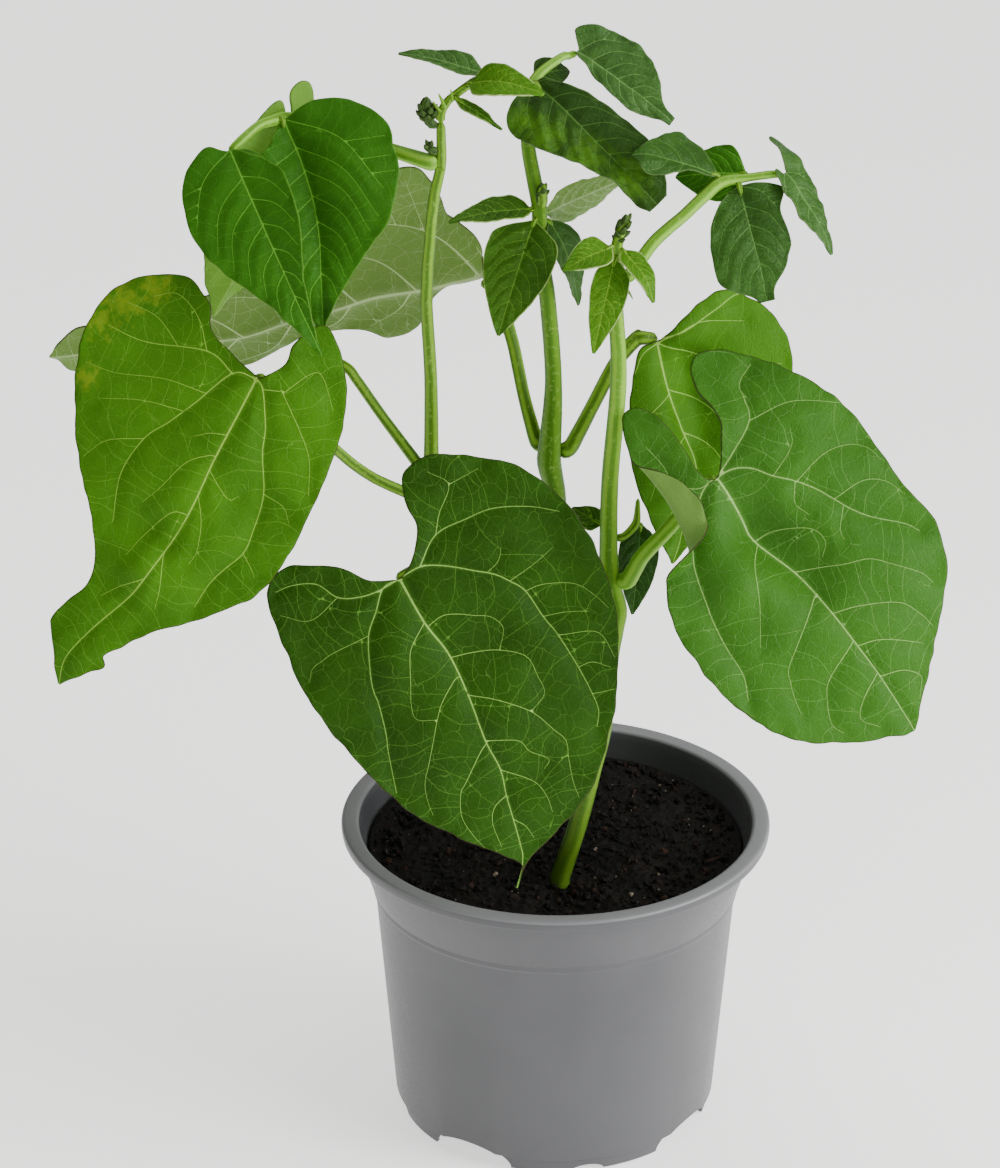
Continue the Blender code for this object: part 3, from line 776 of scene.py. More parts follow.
@dataclass(frozen=True)
class Roll:
    """A stretch of margin that is rolled over towards the upper side, beyond a line in the flat blade."""

    start: Point
    end: Point
    radius: float
    turn: float  # degrees
    bow: float = 0.0  # how far the crease lies inward of that line at its middle
    drawn_in: float = 0.0  # the share by which the rolled part is puckered narrower

    def bend(self, along: float, across: float) -> tuple[float, float, float]:
        """Where a flat point goes, as (along, across, height)."""
        a, b = Vector(self.start), Vector(self.end)
        axis = b - a
        length = axis.length
        axis /= length
        beyond = Vector((-axis.y, axis.x))
        if beyond.y > 0:
            beyond = -beyond
        point = Vector((along, across)) - a
        share = point.dot(axis) / length
        bowed = self.bow * 4 * share * (1 - share)
        reach = point.dot(beyond) + bowed
        window = step_between(-0.05, 0.3, share) * step_between(1.05, 0.75, share)
        if reach <= 0 or window <= 0:
            return along, across, 0.0
        angle = math.radians(self.turn) * window
        arc = min(reach / self.radius, angle)
        rest = (reach - self.radius * arc) * (1 - self.drawn_in * window)
        out = self.radius * math.sin(arc) + rest * math.cos(arc)
        height = self.radius * (1 - math.cos(arc)) + rest * math.sin(arc)
        spot = a + axis * (share * length) + beyond * (out - bowed)
        return spot.x, spot.y, height


@dataclass(frozen=True)
class Blade:
    """A leaf blade, drawn flat and then bent: margins are (along, across) from the base."""

    base: Point
    tip: Point
    face: Point  # where the upper surface looks
    right: Line  # margin on the +across side, from the base round to the tip
    left: Line
    arch: float = 0.0  # how far the middle stands out from the base-to-tip line
    fold: tuple[float, float] = (0.0, 0.0)  # rise of the left and right halves
    seat: str = ""
    tone: LeafTone = LeafTone.TOP
    midrib: Line = ()
    veins: tuple[Vein, ...] = ()
    pairs: int = 4  # side veins that are drawn by rule, where none are given
    rib: float = 0.35  # half width of the midrib at the base
    quilt: float = 0.45  # how far the tissue bulges between the veins
    valley: float = 0.8  # how deep the main veins lie
    dents: tuple[tuple[float, float, float, float], ...] = ()  # (along, across, radius, depth)
    fray: float = 0.5  # unevenness of the margin in the blade's plane
    wave: float = 0.9  # ripple of the margin
    roll: Roll | None = None
    blush: tuple[tuple[float, float, float], ...] = ()  # (along, across, radius) of yellowed patches
    pitch: float = 0.65
    foot: float = 1.6
    point: float = 0.7
    thickness: float = 0.35
    rungs: tuple[float, float] = (1.2, 13.0)  # shortest and longest cross vein
    rung_angles: tuple[float, float] = (68, 104)  # from the vein that it leaves, degrees
    rung_sway: float = 0.16  # how far a cross vein bends, as a share of its length
    crowding: float = 0.62  # how near two cross veins may come, as a share of their spacing

    @property
    def length(self) -> float:
        """From the base to the tip."""
        return (Vector(self.tip) - Vector(self.base)).length

    def axes(self) -> tuple[Vector, Vector, Vector]:
        """Unit vectors along the blade, across it, and out of its upper face."""
        along = (Vector(self.tip) - Vector(self.base)).normalized()
        face = Vector(self.face)
        face = (face - along * face.dot(along)).normalized()
        return along, face.cross(along), face

    def outline(self) -> np.ndarray:
        """The flat outline as an array of points, anticlockwise from the right side of the foot."""
        sides = []
        for sign, rows in ((1, self.right), (-1, self.left)):
            ends = (0.0, sign * self.foot / 2), (self.length, sign * self.point / 2)
            path = smooth_path([ends[0], *rows, ends[1]], self.pitch * 1.2)
            side = []
            for k, spot in enumerate(path):
                way = (path[min(k + 1, len(path) - 1)] - path[max(k - 1, 0)]).normalized()
                calm = min(1.0, k / 6, (len(path) - 1 - k) / 6)
                shift = noise.noise(Vector((spot.x / 4.5, spot.y / 4.5, sign * 3 + self.length))) * calm
                side.append((spot.x - way.y * shift * self.fray, spot.y + way.x * shift * self.fray))
            sides.append(side)
        return np.array(sides[1] + sides[0][::-1])

    def midline(self) -> list[Vector]:
        """The midrib in the flat blade."""
        return smooth_path([(0.0, 0.0), *self.midrib, (self.length, 0.0)], self.pitch)

    def ruled_veins(self, ring: np.ndarray) -> list[Vein]:
        """Side veins by rule: they leave the midrib at about 45 degrees and turn towards the tip.

        Args:
            ring: the flat outline.

        Returns:
            The veins, with a branch on each of the lowest pair.
        """
        middle = self.midline()
        found = []
        for sign in (1, -1):
            for k in range(self.pairs):
                share = 0.015 + (0.12 * (sign < 0) + k) * 0.82 / self.pairs if k else 0.01
                spot = middle[int(share * (len(middle) - 1))]
                for opening in ((46, 95) if k == 0 else (44 - 3 * k,)):
                    ray = heading(opening * sign)
                    reach = reach_to(ring, spot, ray) * (0.9 if opening < 90 else 0.75)
                    if reach < 2.0:
                        continue
                    knee = spot + heading((opening + 16) * sign) * reach * 0.5
                    end = spot + ray * reach
                    start = self.rib * (0.55 if k == 0 else 0.42)
                    found.append(Vein((tuple(spot), tuple(knee), tuple(end)), start, 0.06, 1))
                    if k == 0 and opening < 90:
                        found += side_branches(ring, knee, end, (opening + 42) * sign)
        return found

    def cross_veins(self, ring: np.ndarray, lines: list[np.ndarray]) -> list[Vein]:
        """The rungs that tie the side veins to each other and to the margin.

        Args:
            ring: the flat outline.
            lines: the veins' points.

        Returns:
            Short thin veins, each slightly bent, about as far apart as the cells of the finish.
        """
        step = self.tone.finish.cell * 1.05
        dice = np.random.default_rng(len(ring))
        walls = [closed(ring), *lines]
        shortest, longest = self.rungs
        found, taken = [], []
        for index, line in enumerate(lines, 1):
            rest = [wall for k, wall in enumerate(walls) if k != index]
            starts = np.vstack([wall[:-1] for wall in rest])
            ways = np.vstack([wall[1:] - wall[:-1] for wall in rest])
            stride = max(2, int(step / self.pitch))
            for k in range(stride // 2, len(line) - 2, stride):
                root, way = line[k], line[k + 1] - line[k]
                for sign in (1, -1):
                    turn = sign * math.radians(dice.uniform(*self.rung_angles))
                    angle = math.atan2(way[1], way[0]) + turn
                    ray = np.array((math.cos(angle), math.sin(angle)))
                    sway = dice.uniform(-self.rung_sway, self.rung_sway)
                    reach = first_hit(starts, ways, root, ray)
                    middle = root + ray * reach / 2
                    crowded = any(math.dist(middle, spot) < step * self.crowding for spot in taken)
                    if not shortest < reach < longest or crowded:
                        continue
                    taken.append(tuple(middle))
                    middle += np.array((-ray[1], ray[0])) * sway * reach
                    path = (tuple(root), tuple(middle), tuple(root + ray * reach * 0.97))
                    found.append(Vein(path, 0.065, 0.05, 2))
        return found

    def lift(self, along: float, across: float) -> float:
        """How far the bent blade stands out of its flat plane, as in its solid."""
        t = along / self.length
        slope = self.fold[1] if across > 0 else self.fold[0]
        return self.arch * 4 * t * (1 - t) + slope * (math.hypot(across, 3.0) - 3.0)

    def vein_net(self, ring: np.ndarray) -> tuple[list[Vein], list[np.ndarray]]:
        """All the veins of the blade, and the points of each at the mesh's pitch."""
        middle = Vein(tuple(tuple(p) for p in self.midline()), self.rib, 0.1, 0)
        veins = joined([middle, *self.veins, *self.ruled_veins(ring)])
        lines = [vein.drawn_at(self.pitch) for vein in veins]
        rungs = self.cross_veins(ring, lines)
        return veins + rungs, lines + [rung.drawn_at(self.pitch) for rung in rungs]

    def bent(self, seed: int, rows: Iterable[tuple[np.ndarray, float, float, float]]) -> list[Vector]:
        """Flat points brought into space, with the relief of the blade.

        Args:
            seed: picks the blade's own ripples.
            rows: for each point, its (place, distance to a vein, to a main vein, to the margin).

        Returns:
            Their places in metres.
        """
        along, across, face = self.axes()
        base = Vector(self.base)
        places = []
        for (x, y), gap, deep, edge in rows:
            bulge = self.quilt * (1 - math.exp(-((gap / 2.2) ** 2)))
            bulge += self.valley * (0.4 - math.exp(-((deep / 4.5) ** 1.5)))
            for a, b, size, depth in self.dents:
                bulge -= depth * math.exp(-((x - a) ** 2 + (y - b) ** 2) / size**2)
            slow = noise.noise(Vector((x / 16, y / 16, seed))) * self.wave
            ripple = noise.noise(Vector((x / 6, y / 6, seed + 7))) * self.wave * math.exp(-edge / 4)
            u, v, roll = self.roll.bend(x, y) if self.roll else (x, y, 0.0)
            height = self.lift(u, v) + bulge + slow + ripple + roll
            places.append(to_world(base + along * u + across * v + face * height))
        return places

    def build(self, name: str) -> bpy.types.Object:
        """The blade, with its veins laid as edges of the mesh.

        Args:
            name: the piece's name.

        Returns:
            The piece.
        """
        ring = self.outline()
        veins, lines = self.vein_net(ring)
        spots, faces = laid_out(ring, lines, inner_grid(ring, lines, self.pitch))
        near, main, ratios = vein_field(spots, lines, veins)
        rim = gap_to_line(spots, closed(ring))
        seed = sum(ord(c) for c in name) % 97
        mesh = bpy.data.meshes.new(name)
        mesh.from_pydata(self.bent(seed, zip(spots, near, main, rim)), [], faces)
        flat = np.column_stack([spots, np.full(len(spots), seed)]).astype(np.float32)
        mesh.attributes.new("flat", "FLOAT_VECTOR", "POINT").data.foreach_set("vector", flat.ravel())
        for label, ratio in zip(("rib", "side", "rung"), ratios):
            set_values(mesh, label, ratio)
        to_tip = np.hypot(spots[:, 0] - self.length, spots[:, 1])
        set_values(mesh, "rim", rim + np.clip(4.0 - to_tip, 0.0, 4.0) * 0.2)
        stain = np.zeros(len(spots))
        for x, y, size in self.blush:
            stain = np.maximum(stain, 1 - np.hypot(spots[:, 0] - x, spots[:, 1] - y) / size)
        set_values(mesh, "blush", np.clip(stain, 0, 1) ** 0.6)
        for material in self.tone.materials():
            mesh.materials.append(material)
        obj = linked(name, mesh)
        apply_modifier(
            obj, "SOLIDIFY", thickness=self.thickness * MM, offset=0.0, material_offset=1,
            material_offset_rim=0,
        )
        obj.data.shade_smooth()
        return obj


def side_branches(ring: np.ndarray, knee: Vector, end: Vector, turn: float) -> list[Vein]:
    """Thin veins that leave the outer half of a side vein.

    Args:
        ring: the flat outline.
        knee: the middle of the side vein.
        end: its end.
        turn: where the branches point, in degrees from the midrib.

    Returns:
        The branches that have room.
    """
    ray = heading(turn)
    found = []
    for part in (0.35, 0.6, 0.8):
        root = knee.lerp(end, (part - 0.3) / 0.7)
        far = reach_to(ring, root, ray) * 0.85
        if far > 2.0:
            found.append(Vein((tuple(root), tuple(root + ray * far)), 0.1, 0.05, 1))
    return found


def closed(ring: np.ndarray) -> np.ndarray:
    """The ring with its first point once more at the end."""
    return np.vstack([ring, ring[:1]])


def laid_out(
    ring: np.ndarray, lines: list[np.ndarray], grid: np.ndarray
) -> tuple[np.ndarray, list[list[int]]]:
    """A flat triangle mesh inside the ring, with the lines as edges.

    Args:
        ring: the flat outline.
        lines: the veins' points.
        grid: points between them.

    Returns:
        The mesh's points and its faces.
    """
    points = [tuple(p) for p in ring]
    edges = [(k, (k + 1) % len(ring)) for k in range(len(ring))]
    for line in lines:
        start = len(points)
        points += [tuple(p) for p in line]
        edges += [(start + k, start + k + 1) for k in range(len(line) - 1)]
    points += [tuple(p) for p in grid]
    flat, _, faces, *_ = geometry.delaunay_2d_cdt(
        [Vector(p) for p in points], edges, [tuple(range(len(ring)))], 1, 1e-4
    )
    return np.array([tuple(p) for p in flat]), faces


def joined(veins: Sequence[Vein], near: float = 4.0, touching: float = 1.2) -> list[Vein]:
    """The veins, each with its start brought onto the nearest one before it.

    Args:
        veins: the veins, the stoutest first.
        near: up to this distance, a start is joined.
        touching: up to this distance, the start itself is moved; beyond it, a point is added.

    Returns:
        The joined veins.
    """
    found, spots = [], np.empty((0, 2))
    for vein in veins:
        path = [tuple(p) for p in vein.path]
        if len(spots):
            gaps = np.hypot(*(spots - np.array(path[0])).T)
            if gaps.min() < near:
                path[:1 if gaps.min() < touching else 0] = [tuple(spots[gaps.argmin()])]
        found.append(replace(vein, path=tuple(path)))
        spots = np.vstack([spots, found[-1].drawn_at(0.5)])
    return found


def first_hit(starts: np.ndarray, ways: np.ndarray, spot: np.ndarray, ray: np.ndarray) -> float:
    """How far a ray runs until it meets one of many short lines.

    Args:
        starts: one end of each line.
        ways: from that end to the other.
        spot: where the ray starts.
        ray: its unit vector.

    Returns:
        The distance, or 0 where it meets nothing.
    """
    cross = ray[0] * ways[:, 1] - ray[1] * ways[:, 0]
    cross[np.abs(cross) < 1e-9] = 1e-9
    gap = starts - spot
    t = (gap[:, 0] * ways[:, 1] - gap[:, 1] * ways[:, 0]) / cross
    u = (gap[:, 0] * ray[1] - gap[:, 1] * ray[0]) / cross
    hits = t[(t > 0.3) & (u >= 0) & (u <= 1)]
    return float(hits.min()) if len(hits) else 0.0


def reach_to(ring: np.ndarray, spot: Vector, ray: Vector) -> float:
    """How far a ray runs from a point inside the ring until it meets the ring."""
    return first_hit(ring, np.roll(ring, -1, axis=0) - ring, np.array(spot), np.array(ray))


def gap_to_step(spots: np.ndarray, start: np.ndarray, way: np.ndarray) -> np.ndarray:
    """The distance from each spot to one straight step."""
    t = np.clip(((spots - start) @ way) / max(1e-12, way @ way), 0, 1)
    return np.hypot(*(spots - start - t[:, None] * way).T)


def gap_to_line(spots: np.ndarray, line: np.ndarray) -> np.ndarray:
    """The distance from each spot to a line of points."""
    best = np.full(len(spots), 1e9)
    for a, b in zip(line, line[1:]):
        best = np.minimum(best, gap_to_step(spots, a, b - a))
    return best


def vein_field(
    spots: np.ndarray, lines: list[np.ndarray], veins: list[Vein]
) -> tuple[np.ndarray, ...]:
    """How each spot lies to the veins.

    Args:
        spots: flat points.
        lines: the veins' points.
        veins: the veins, in the same order.

    Returns:
        The distance to the nearest vein and to the nearest main vein, and for each order of veins
        the least distance as a share of a vein's half width.
    """
    near = np.full(len(spots), 1e9)
    main = np.full(len(spots), 1e9)
    ratios = np.full((3, len(spots)), 60.0)
    for line, vein in zip(lines, veins):
        count = len(line) - 1
        for k in range(count):
            gap = gap_to_step(spots, line[k], line[k + 1] - line[k])
            width = vein.start + (vein.end - vein.start) * ((k + 0.5) / count) ** 0.7
            if vein.order < 2:
                near = np.minimum(near, gap)
            if vein.order < 1:
                main = np.minimum(main, gap + 2.0 * k / count)
            ratios[vein.order] = np.minimum(ratios[vein.order], gap / width)
    return near, main, ratios


def inner_grid(ring: np.ndarray, lines: list[np.ndarray], pitch: float) -> np.ndarray:
    """A triangular grid inside the ring that keeps half a pitch off the ring and the veins.

    Args:
        ring: the flat outline.
        lines: the veins' points.
        pitch: spacing of the grid.

    Returns:
        The grid's points.
    """
    low, high = ring.min(0), ring.max(0)
    rise = pitch * math.sqrt(3) / 2
    rows, columns = int((high[1] - low[1]) / rise) + 1, int((high[0] - low[0]) / pitch) + 2
    grid = np.array([
        (low[0] + (column + 0.5 * (row % 2)) * pitch, low[1] + row * rise)
        for row in range(rows) for column in range(columns)
    ])
    odd = np.zeros(len(grid), bool)
    for (ax, ay), (bx, by) in zip(ring, np.roll(ring, -1, axis=0)):
        if ay == by:
            continue
        meets = (ay > grid[:, 1]) != (by > grid[:, 1])
        odd ^= meets & (grid[:, 0] < ax + (bx - ax) * (grid[:, 1] - ay) / (by - ay))
    grid = grid[odd]
    clear = gap_to_line(grid, closed(ring)) > 0.5 * pitch
    for line in lines:
        clear &= gap_to_line(grid, line) > 0.5 * pitch
    return grid[clear]


# ---------------------------------------------------------------- buds and stipules


@dataclass(frozen=True)
class BudScales:
    """A growing tip: folded leaf buds, each a pleated egg, packed round a short shoot."""

    foot: Point
    top: Point
    girth: float  # radius of the shoot under the buds
    size: float  # length of a bud
    count: int

    def build(self, name: str) -> bpy.types.Object:
        """The buds as one piece.

        Args:
            name: the piece's name.

        Returns:
            The piece.
        """
        foot, top = Vector(self.foot), Vector(self.top)
        axis = (top - foot).normalized()
        side = axis.cross(Vector((0.2, 1.0, 0.1))).normalized()
        parts = []
        for k in range(self.count):
            share = (k + 0.5) / self.count
            turn = k * 2.4
            out = side * math.cos(turn) + axis.cross(side) * math.sin(turn)
            girth = self.girth * math.sqrt(max(0.05, 1 - (2 * share - 1) ** 2))
            length = self.size * (1.15 - 0.3 * share)
            deselect()
            bpy.ops.mesh.primitive_uv_sphere_add(segments=18, ring_count=12, radius=1.0)
            bud = bpy.context.object
            way = (axis * (0.5 + share) + out * (1.1 - share)).normalized()
            pose = Matrix.Translation(foot.lerp(top, share) + out * girth)
            pose @= way.to_track_quat("Z", "Y").to_matrix().to_4x4()
            for vertex in bud.data.vertices:
                x, y, z = vertex.co
                pleat = 1 + 0.13 * math.cos(4 * math.atan2(y, x) + k)
                taper = 0.34 * (1 - 0.4 * z) * pleat * length
                vertex.co = to_world(pose @ Vector((x * taper, y * taper * 0.75, z * 0.5 * length)))
            parts.append(bud)
        deselect()
        for part in parts:
            part.select_set(True)
        bpy.context.view_layer.objects.active = parts[0]
        bpy.ops.object.join()
        obj = bpy.context.object
        obj.name = name
        set_values(obj.data, "turn", [v.co.z * 700 % 1 for v in obj.data.vertices])
        set_values(obj.data, "way", np.zeros(len(obj.data.vertices)))
        obj.data.materials.append(StalkTone.BUD.material())
        obj.data.shade_smooth()
        return obj


# ---------------------------------------------------------------- the plant's own sizes


def ovate(length: float, left: float, right: float, widest: float = 0.62) -> tuple[Line, Line]:
    """Margins of a simple egg-shaped leaflet, as (right, left)."""
    sides = []
    for width in (right, -left):
        side = []
        for step in range(1, 7):
            t = step / 7
            side.append((length * t, width * math.sin(math.pi * t**widest) ** 0.8))
        sides.append(tuple(side))
    return sides[0], sides[1]


def leaflet(base: Point, tip: Point, face: Point, left: float, right: float, **more: object) -> Blade:
    """A young leaflet whose margins follow the egg shape."""
    right_side, left_side = ovate((Vector(tip) - Vector(base)).length, left, right)
    more = {"tone": LeafTone.YOUNG, "pairs": 6, "rib": 0.25, "quilt": 0.9, "pitch": 0.45, "fray": 0.2, **more}
    return Blade(base, tip, face, right_side, left_side, **more)


def drawn(paths: Iterable[Line], start: float, end: float, order: int) -> tuple[Vein, ...]:
    """Veins of one order."""
    return tuple(Vein(path, start, end, order) for path in paths)


STEMS = {
    "stem_right": Stalk(
        ((1.2, -25, 85.4), (1.2, -25, 87), (6.2, -25, 105), (10.2, -24, 122), (12.2, -23, 133),
         (14.6, -21, 155), (16.4, -19.5, 167), (14.3, -18, 173), (13.8, -17, 182), (14, -16, 204),
         (16, -15, 233), (15, -14, 255), (15, -14, 266)),
        (2.9, 2.7, 2.6, 2.4, 2.9, 2.4, 2.5, 3.2, 2.5, 2.3, 2.2, 2.0, 1.9), step=7.0,
        tone=StalkTone.LIGHT,
    ),
    "stem_centre": Stalk(
        ((-6, 14, 85.35), (-6, 14, 88), (-3, 12, 139), (0, 8, 188), (-2, 7, 198), (-1, 6, 223),
         (-3, 5, 250), (-5, 5, 262), (-5, 5, 274), (-8, 6, 291), (-7.5, 8, 306)),
        (2.8, 2.7, 2.5, 2.6, 3.4, 2.3, 2.2, 2.1, 2.1, 1.9, 1.7), step=8.0, tone=StalkTone.SHADED,
    ),
    "stem_left": Stalk(
        ((-22, 5, 85.35), (-22, 5, 88), (-29, 2, 144), (-34, -2, 192), (-34, -2, 200), (-34, -2, 227),
         (-35, -3, 251), (-34, -3, 268), (-33, -3, 279), (-31, -3, 289), (-31, -3, 302)),
        (2.6, 2.4, 2.2, 2.0, 2.1, 1.75, 1.65, 1.5, 1.5, 1.4, 1.2), step=8.0,
    ),
}

PETIOLES = {
    "petiole_front": Stalk(
        ((12, -20, 175), (1, -26, 183), (-20, -33, 190), (-34, -38, 190)),
        (1.7, 1.5, 1.4, 1.7), seat="stem_right", carries="leaf_front",
    ),
    "petiole_right": Stalk(
        ((18.5, -20, 176), (23, -21, 184), (29, -19, 190), (35, -17, 197), (40, -20, 205)),
        (2.3, 2.1, 2.0, 1.9, 1.9), seat="stem_right", carries="leaf_right", tone=StalkTone.PALE,
    ),
    "petiole_left": Stalk(
        ((-38, -5, 193), (-50, -12, 203), (-59, -17, 213), (-68, -21, 225), (-75, -26, 236)),
        (1.6, 1.4, 1.4, 1.5, 1.7), seat="stem_left", carries="leaf_left",
    ),
    "petiole_left_back": Stalk(
        ((-38, 0, 201), (-47, 2, 214), (-57, 4, 228), (-64, 6, 230), (-70, 7.5, 221)),
        (1.6, 1.4, 1.4, 1.4, 1.6), seat="stem_left", carries="leaf_left_back",
    ),
    "petiole_back_left": Stalk(
        ((-6, 11, 203), (-9, 14, 215), (-12, 20, 228), (-16, 25, 240)),
        (2.0, 1.7, 1.7, 1.9), seat="stem_centre", carries="leaf_back_left",
    ),
    "petiole_back_right": Stalk(
        ((3, 8, 202), (9, 9, 213), (16, 12, 226), (22, 15, 232)),
        (2.2, 1.9, 1.9, 2.1), seat="stem_centre", carries="leaf_back_right",
    ),
    "petiole_upper_left": Stalk(
        ((-36, -2.5, 290), (-44, 2.2, 291.2), (-55, 6.6, 292.8), (-65, 6.5, 297.3), (-71.5, 3.2, 299.8),
         (-79, -4, 300.3)),
        (2.2, 1.8, 1.6, 1.6, 1.7, 1.2), seat="stem_left", carries="leaflet_upper_left_end",
        tone=StalkTone.PALE,
    ),
    "petiole_upper_right": Stalk(
        ((18, -13.3, 262), (25, -10, 270), (33, -6, 276), (43, 0, 283), (50, 0.8, 284)),
        (1.8, 1.7, 1.6, 1.7, 1.1), seat="stem_right", carries="leaflet_upper_right_end",
        tone=StalkTone.PALE,
    ),
    "petiole_top": Stalk(
        ((-7.4, 8.2, 306.9), (-4.5, 11, 310), (1, 15, 312.6)), (1.5, 1.3, 1.1), carries="leaflet_top_end",
        tone=StalkTone.PALE,
    ),
    "petiole_top_left": Stalk(
        ((-31, -3, 302.9), (-29.2, -3.2, 307)),
        (1.25, 1.1), step=2.2, carries="leaflet_crown_left_long",
    ),
}

LEAF_FRONT_VEINS = (
    *drawn((
        ((0, 0), (-1, 6), (1, 12), (5, 19), (8, 24), (11, 27), (15, 30), (23, 32), (29, 34), (39, 36),
         (47, 37), (52, 37), (56, 35)),
        ((0, 0), (1, -5), (6, -9), (11, -13), (20, -16), (25, -17), (29, -17), (37, -18), (41, -19),
         (47, -20), (53, -21)),
        ((0, 0), (1, -5), (1, -11), (-1, -17), (-6, -21), (-8, -27), (-8, -32)),
    ), 0.23, 0.07, 0),
    *drawn((
        ((-1, 6), (-7, 13), (-8, 22), (-8, 30), (-5, 39), (-1, 46)),
    ), 0.18, 0.06, 0),
    *drawn((
        ((14, 3), (13, 7), (14, 11), (16, 15), (18, 19), (22, 21), (27, 18)),
        ((24, 5), (25, 11), (27, 18), (31, 24), (37, 25), (42, 25), (45, 20)),
        ((35, 6), (39, 13), (45, 20), (52, 24), (56, 26), (61, 25), (67, 24), (72, 24)),
        ((48, 7), (51, 14), (55, 16), (59, 20), (61, 18)),
        ((57, 7), (63, 14), (68, 16), (73, 16)),
        ((71, 5), (74, 8), (78, 9)),
        ((13, 2), (17, -3), (20, -5), (26, -7), (32, -9), (36, -9), (38, -4)),
        ((30, 4), (34, -1), (38, -4), (43, -7), (48, -10), (53, -13), (58, -14), (62, -14)),
        ((49, 6), (51, 3), (57, -3), (59, -5), (65, -7), (71, -6), (76, -4)),
        ((64, 6), (66, 2), (70, 0), (77, 0)),
        ((-7, 13), (-12, 16), (-18, 21), (-23, 17)),
    ), 0.14, 0.05, 1),
    *drawn((
        ((7, 22), (5, 26), (2, 28)),
        ((11, 27), (9, 35), (7, 41)),
        ((15, 30), (15, 35), (18, 43), (23, 47), (27, 49)),
        ((23, 32), (24, 38), (26, 44)),
        ((29, 34), (32, 44), (40, 46)),
        ((39, 36), (39, 40), (42, 44)),
        ((47, 37), (48, 43)),
        ((11, -13), (12, -23), (13, -27), (14, -30), (17, -32)),
        ((-1, -17), (2, -26), (-2, -33)),
        ((-18, 21), (-19, 30)),
    ), 0.1, 0.04, 1),
)

LEAF_LEFT_VEINS = (
    *drawn((
        ((1, 0), (2, 3), (10, 9), (16, 12), (25, 18), (35, 21), (41, 22), (48, 20), (53, 19), (60, 19)),
        ((1, 0), (3, -6), (15, -10), (23, -13), (30, -16), (41, -16), (53, -11)),
    ), 0.2, 0.07, 0),
    *drawn((
        ((3, -6), (2, -15), (9, -30), (11, -41)),
    ), 0.17, 0.06, 0),
    *drawn((
        ((2, 3), (0, 7), (0, 8), (6, 17), (10, 22), (14, 25), (19, 28)),
        ((2, -15), (-4, -22), (-6, -30), (-2, -35)),
        ((17, 1), (19, -2), (22, -5)),
        ((23, 3), (24, 1), (29, -3), (38, -5), (44, -7)),
        ((40, 5), (42, 1), (51, -2), (58, -3)),
        ((27, 4), (31, 11), (29, 13)),
        ((34, 5), (40, 9), (47, 12), (51, 12)),
        ((52, 5), (60, 9), (66, 11)),
        ((60, 4), (66, 0), (71, -3)),
    ), 0.12, 0.05, 1),
    *drawn((
        ((0, 8), (-8, 11), (-9, 14), (-3, 21)),
        ((25, 18), (25, 24), (28, 28)),
        ((41, 22), (44, 27), (45, 28)),
        ((18, -11), (22, -22), (28, -32)),
        ((30, -16), (36, -24), (43, -27)),
        ((5, -22), (2, -31), (3, -40)),
        ((11, -9), (14, -20), (20, -32), (22, -40)),
    ), 0.1, 0.04, 1),
)

LEAF_RIGHT_VEINS = (
    *drawn((
        ((0, 0), (1, 5), (4, 9), (9, 12), (14, 16), (19, 19), (24, 21), (29, 23), (34, 26), (41, 32),
         (45, 34)),
        ((0, 0), (0, -4), (3, -9), (13, -19), (25, -24), (32, -26), (37, -27), (45, -28), (51, -31)),
        ((0, 0), (-2, 7), (-6, 17), (-11, 20), (-15, 22), (-17, 28)),
    ), 0.22, 0.07, 0),
    *drawn((
        ((0, -1), (-1, -6), (-6, -10), (-11, -9), (-18, -9)),
        ((21, -2), (25, -8), (34, -14), (42, -20)),
        ((41, 0), (50, -16), (54, -19), (59, -21), (63, -22)),
        ((56, 0), (60, -10), (64, -14), (70, -17), (74, -16)),
        ((67, 1), (70, -6), (74, -10), (79, -7)),
        ((20, -1), (21, 4), (26, 11), (31, 12), (34, 9)),
        ((33, 1), (36, 7), (39, 12), (42, 18), (47, 22), (54, 27), (58, 28)),
        ((47, 1), (50, 8), (56, 17), (62, 20), (67, 21)),
        ((58, 1), (60, 6), (64, 11), (69, 16)),
        ((68, 2), (71, 7), (75, 10), (77, 9), (80, 6)),
        ((-6, 17), (-3, 29), (6, 40)),
    ), 0.13, 0.05, 1),
    *drawn((
        ((9, 12), (6, 21), (2, 24)),
        ((14, 16), (13, 26), (15, 33), (19, 37), (24, 38)),
        ((24, 21), (25, 30), (29, 35), (35, 37)),
        ((14, 15), (18, 12), (23, 13)),
        ((27, 21), (31, 17), (34, 16)),
    ), 0.1, 0.04, 1),
)

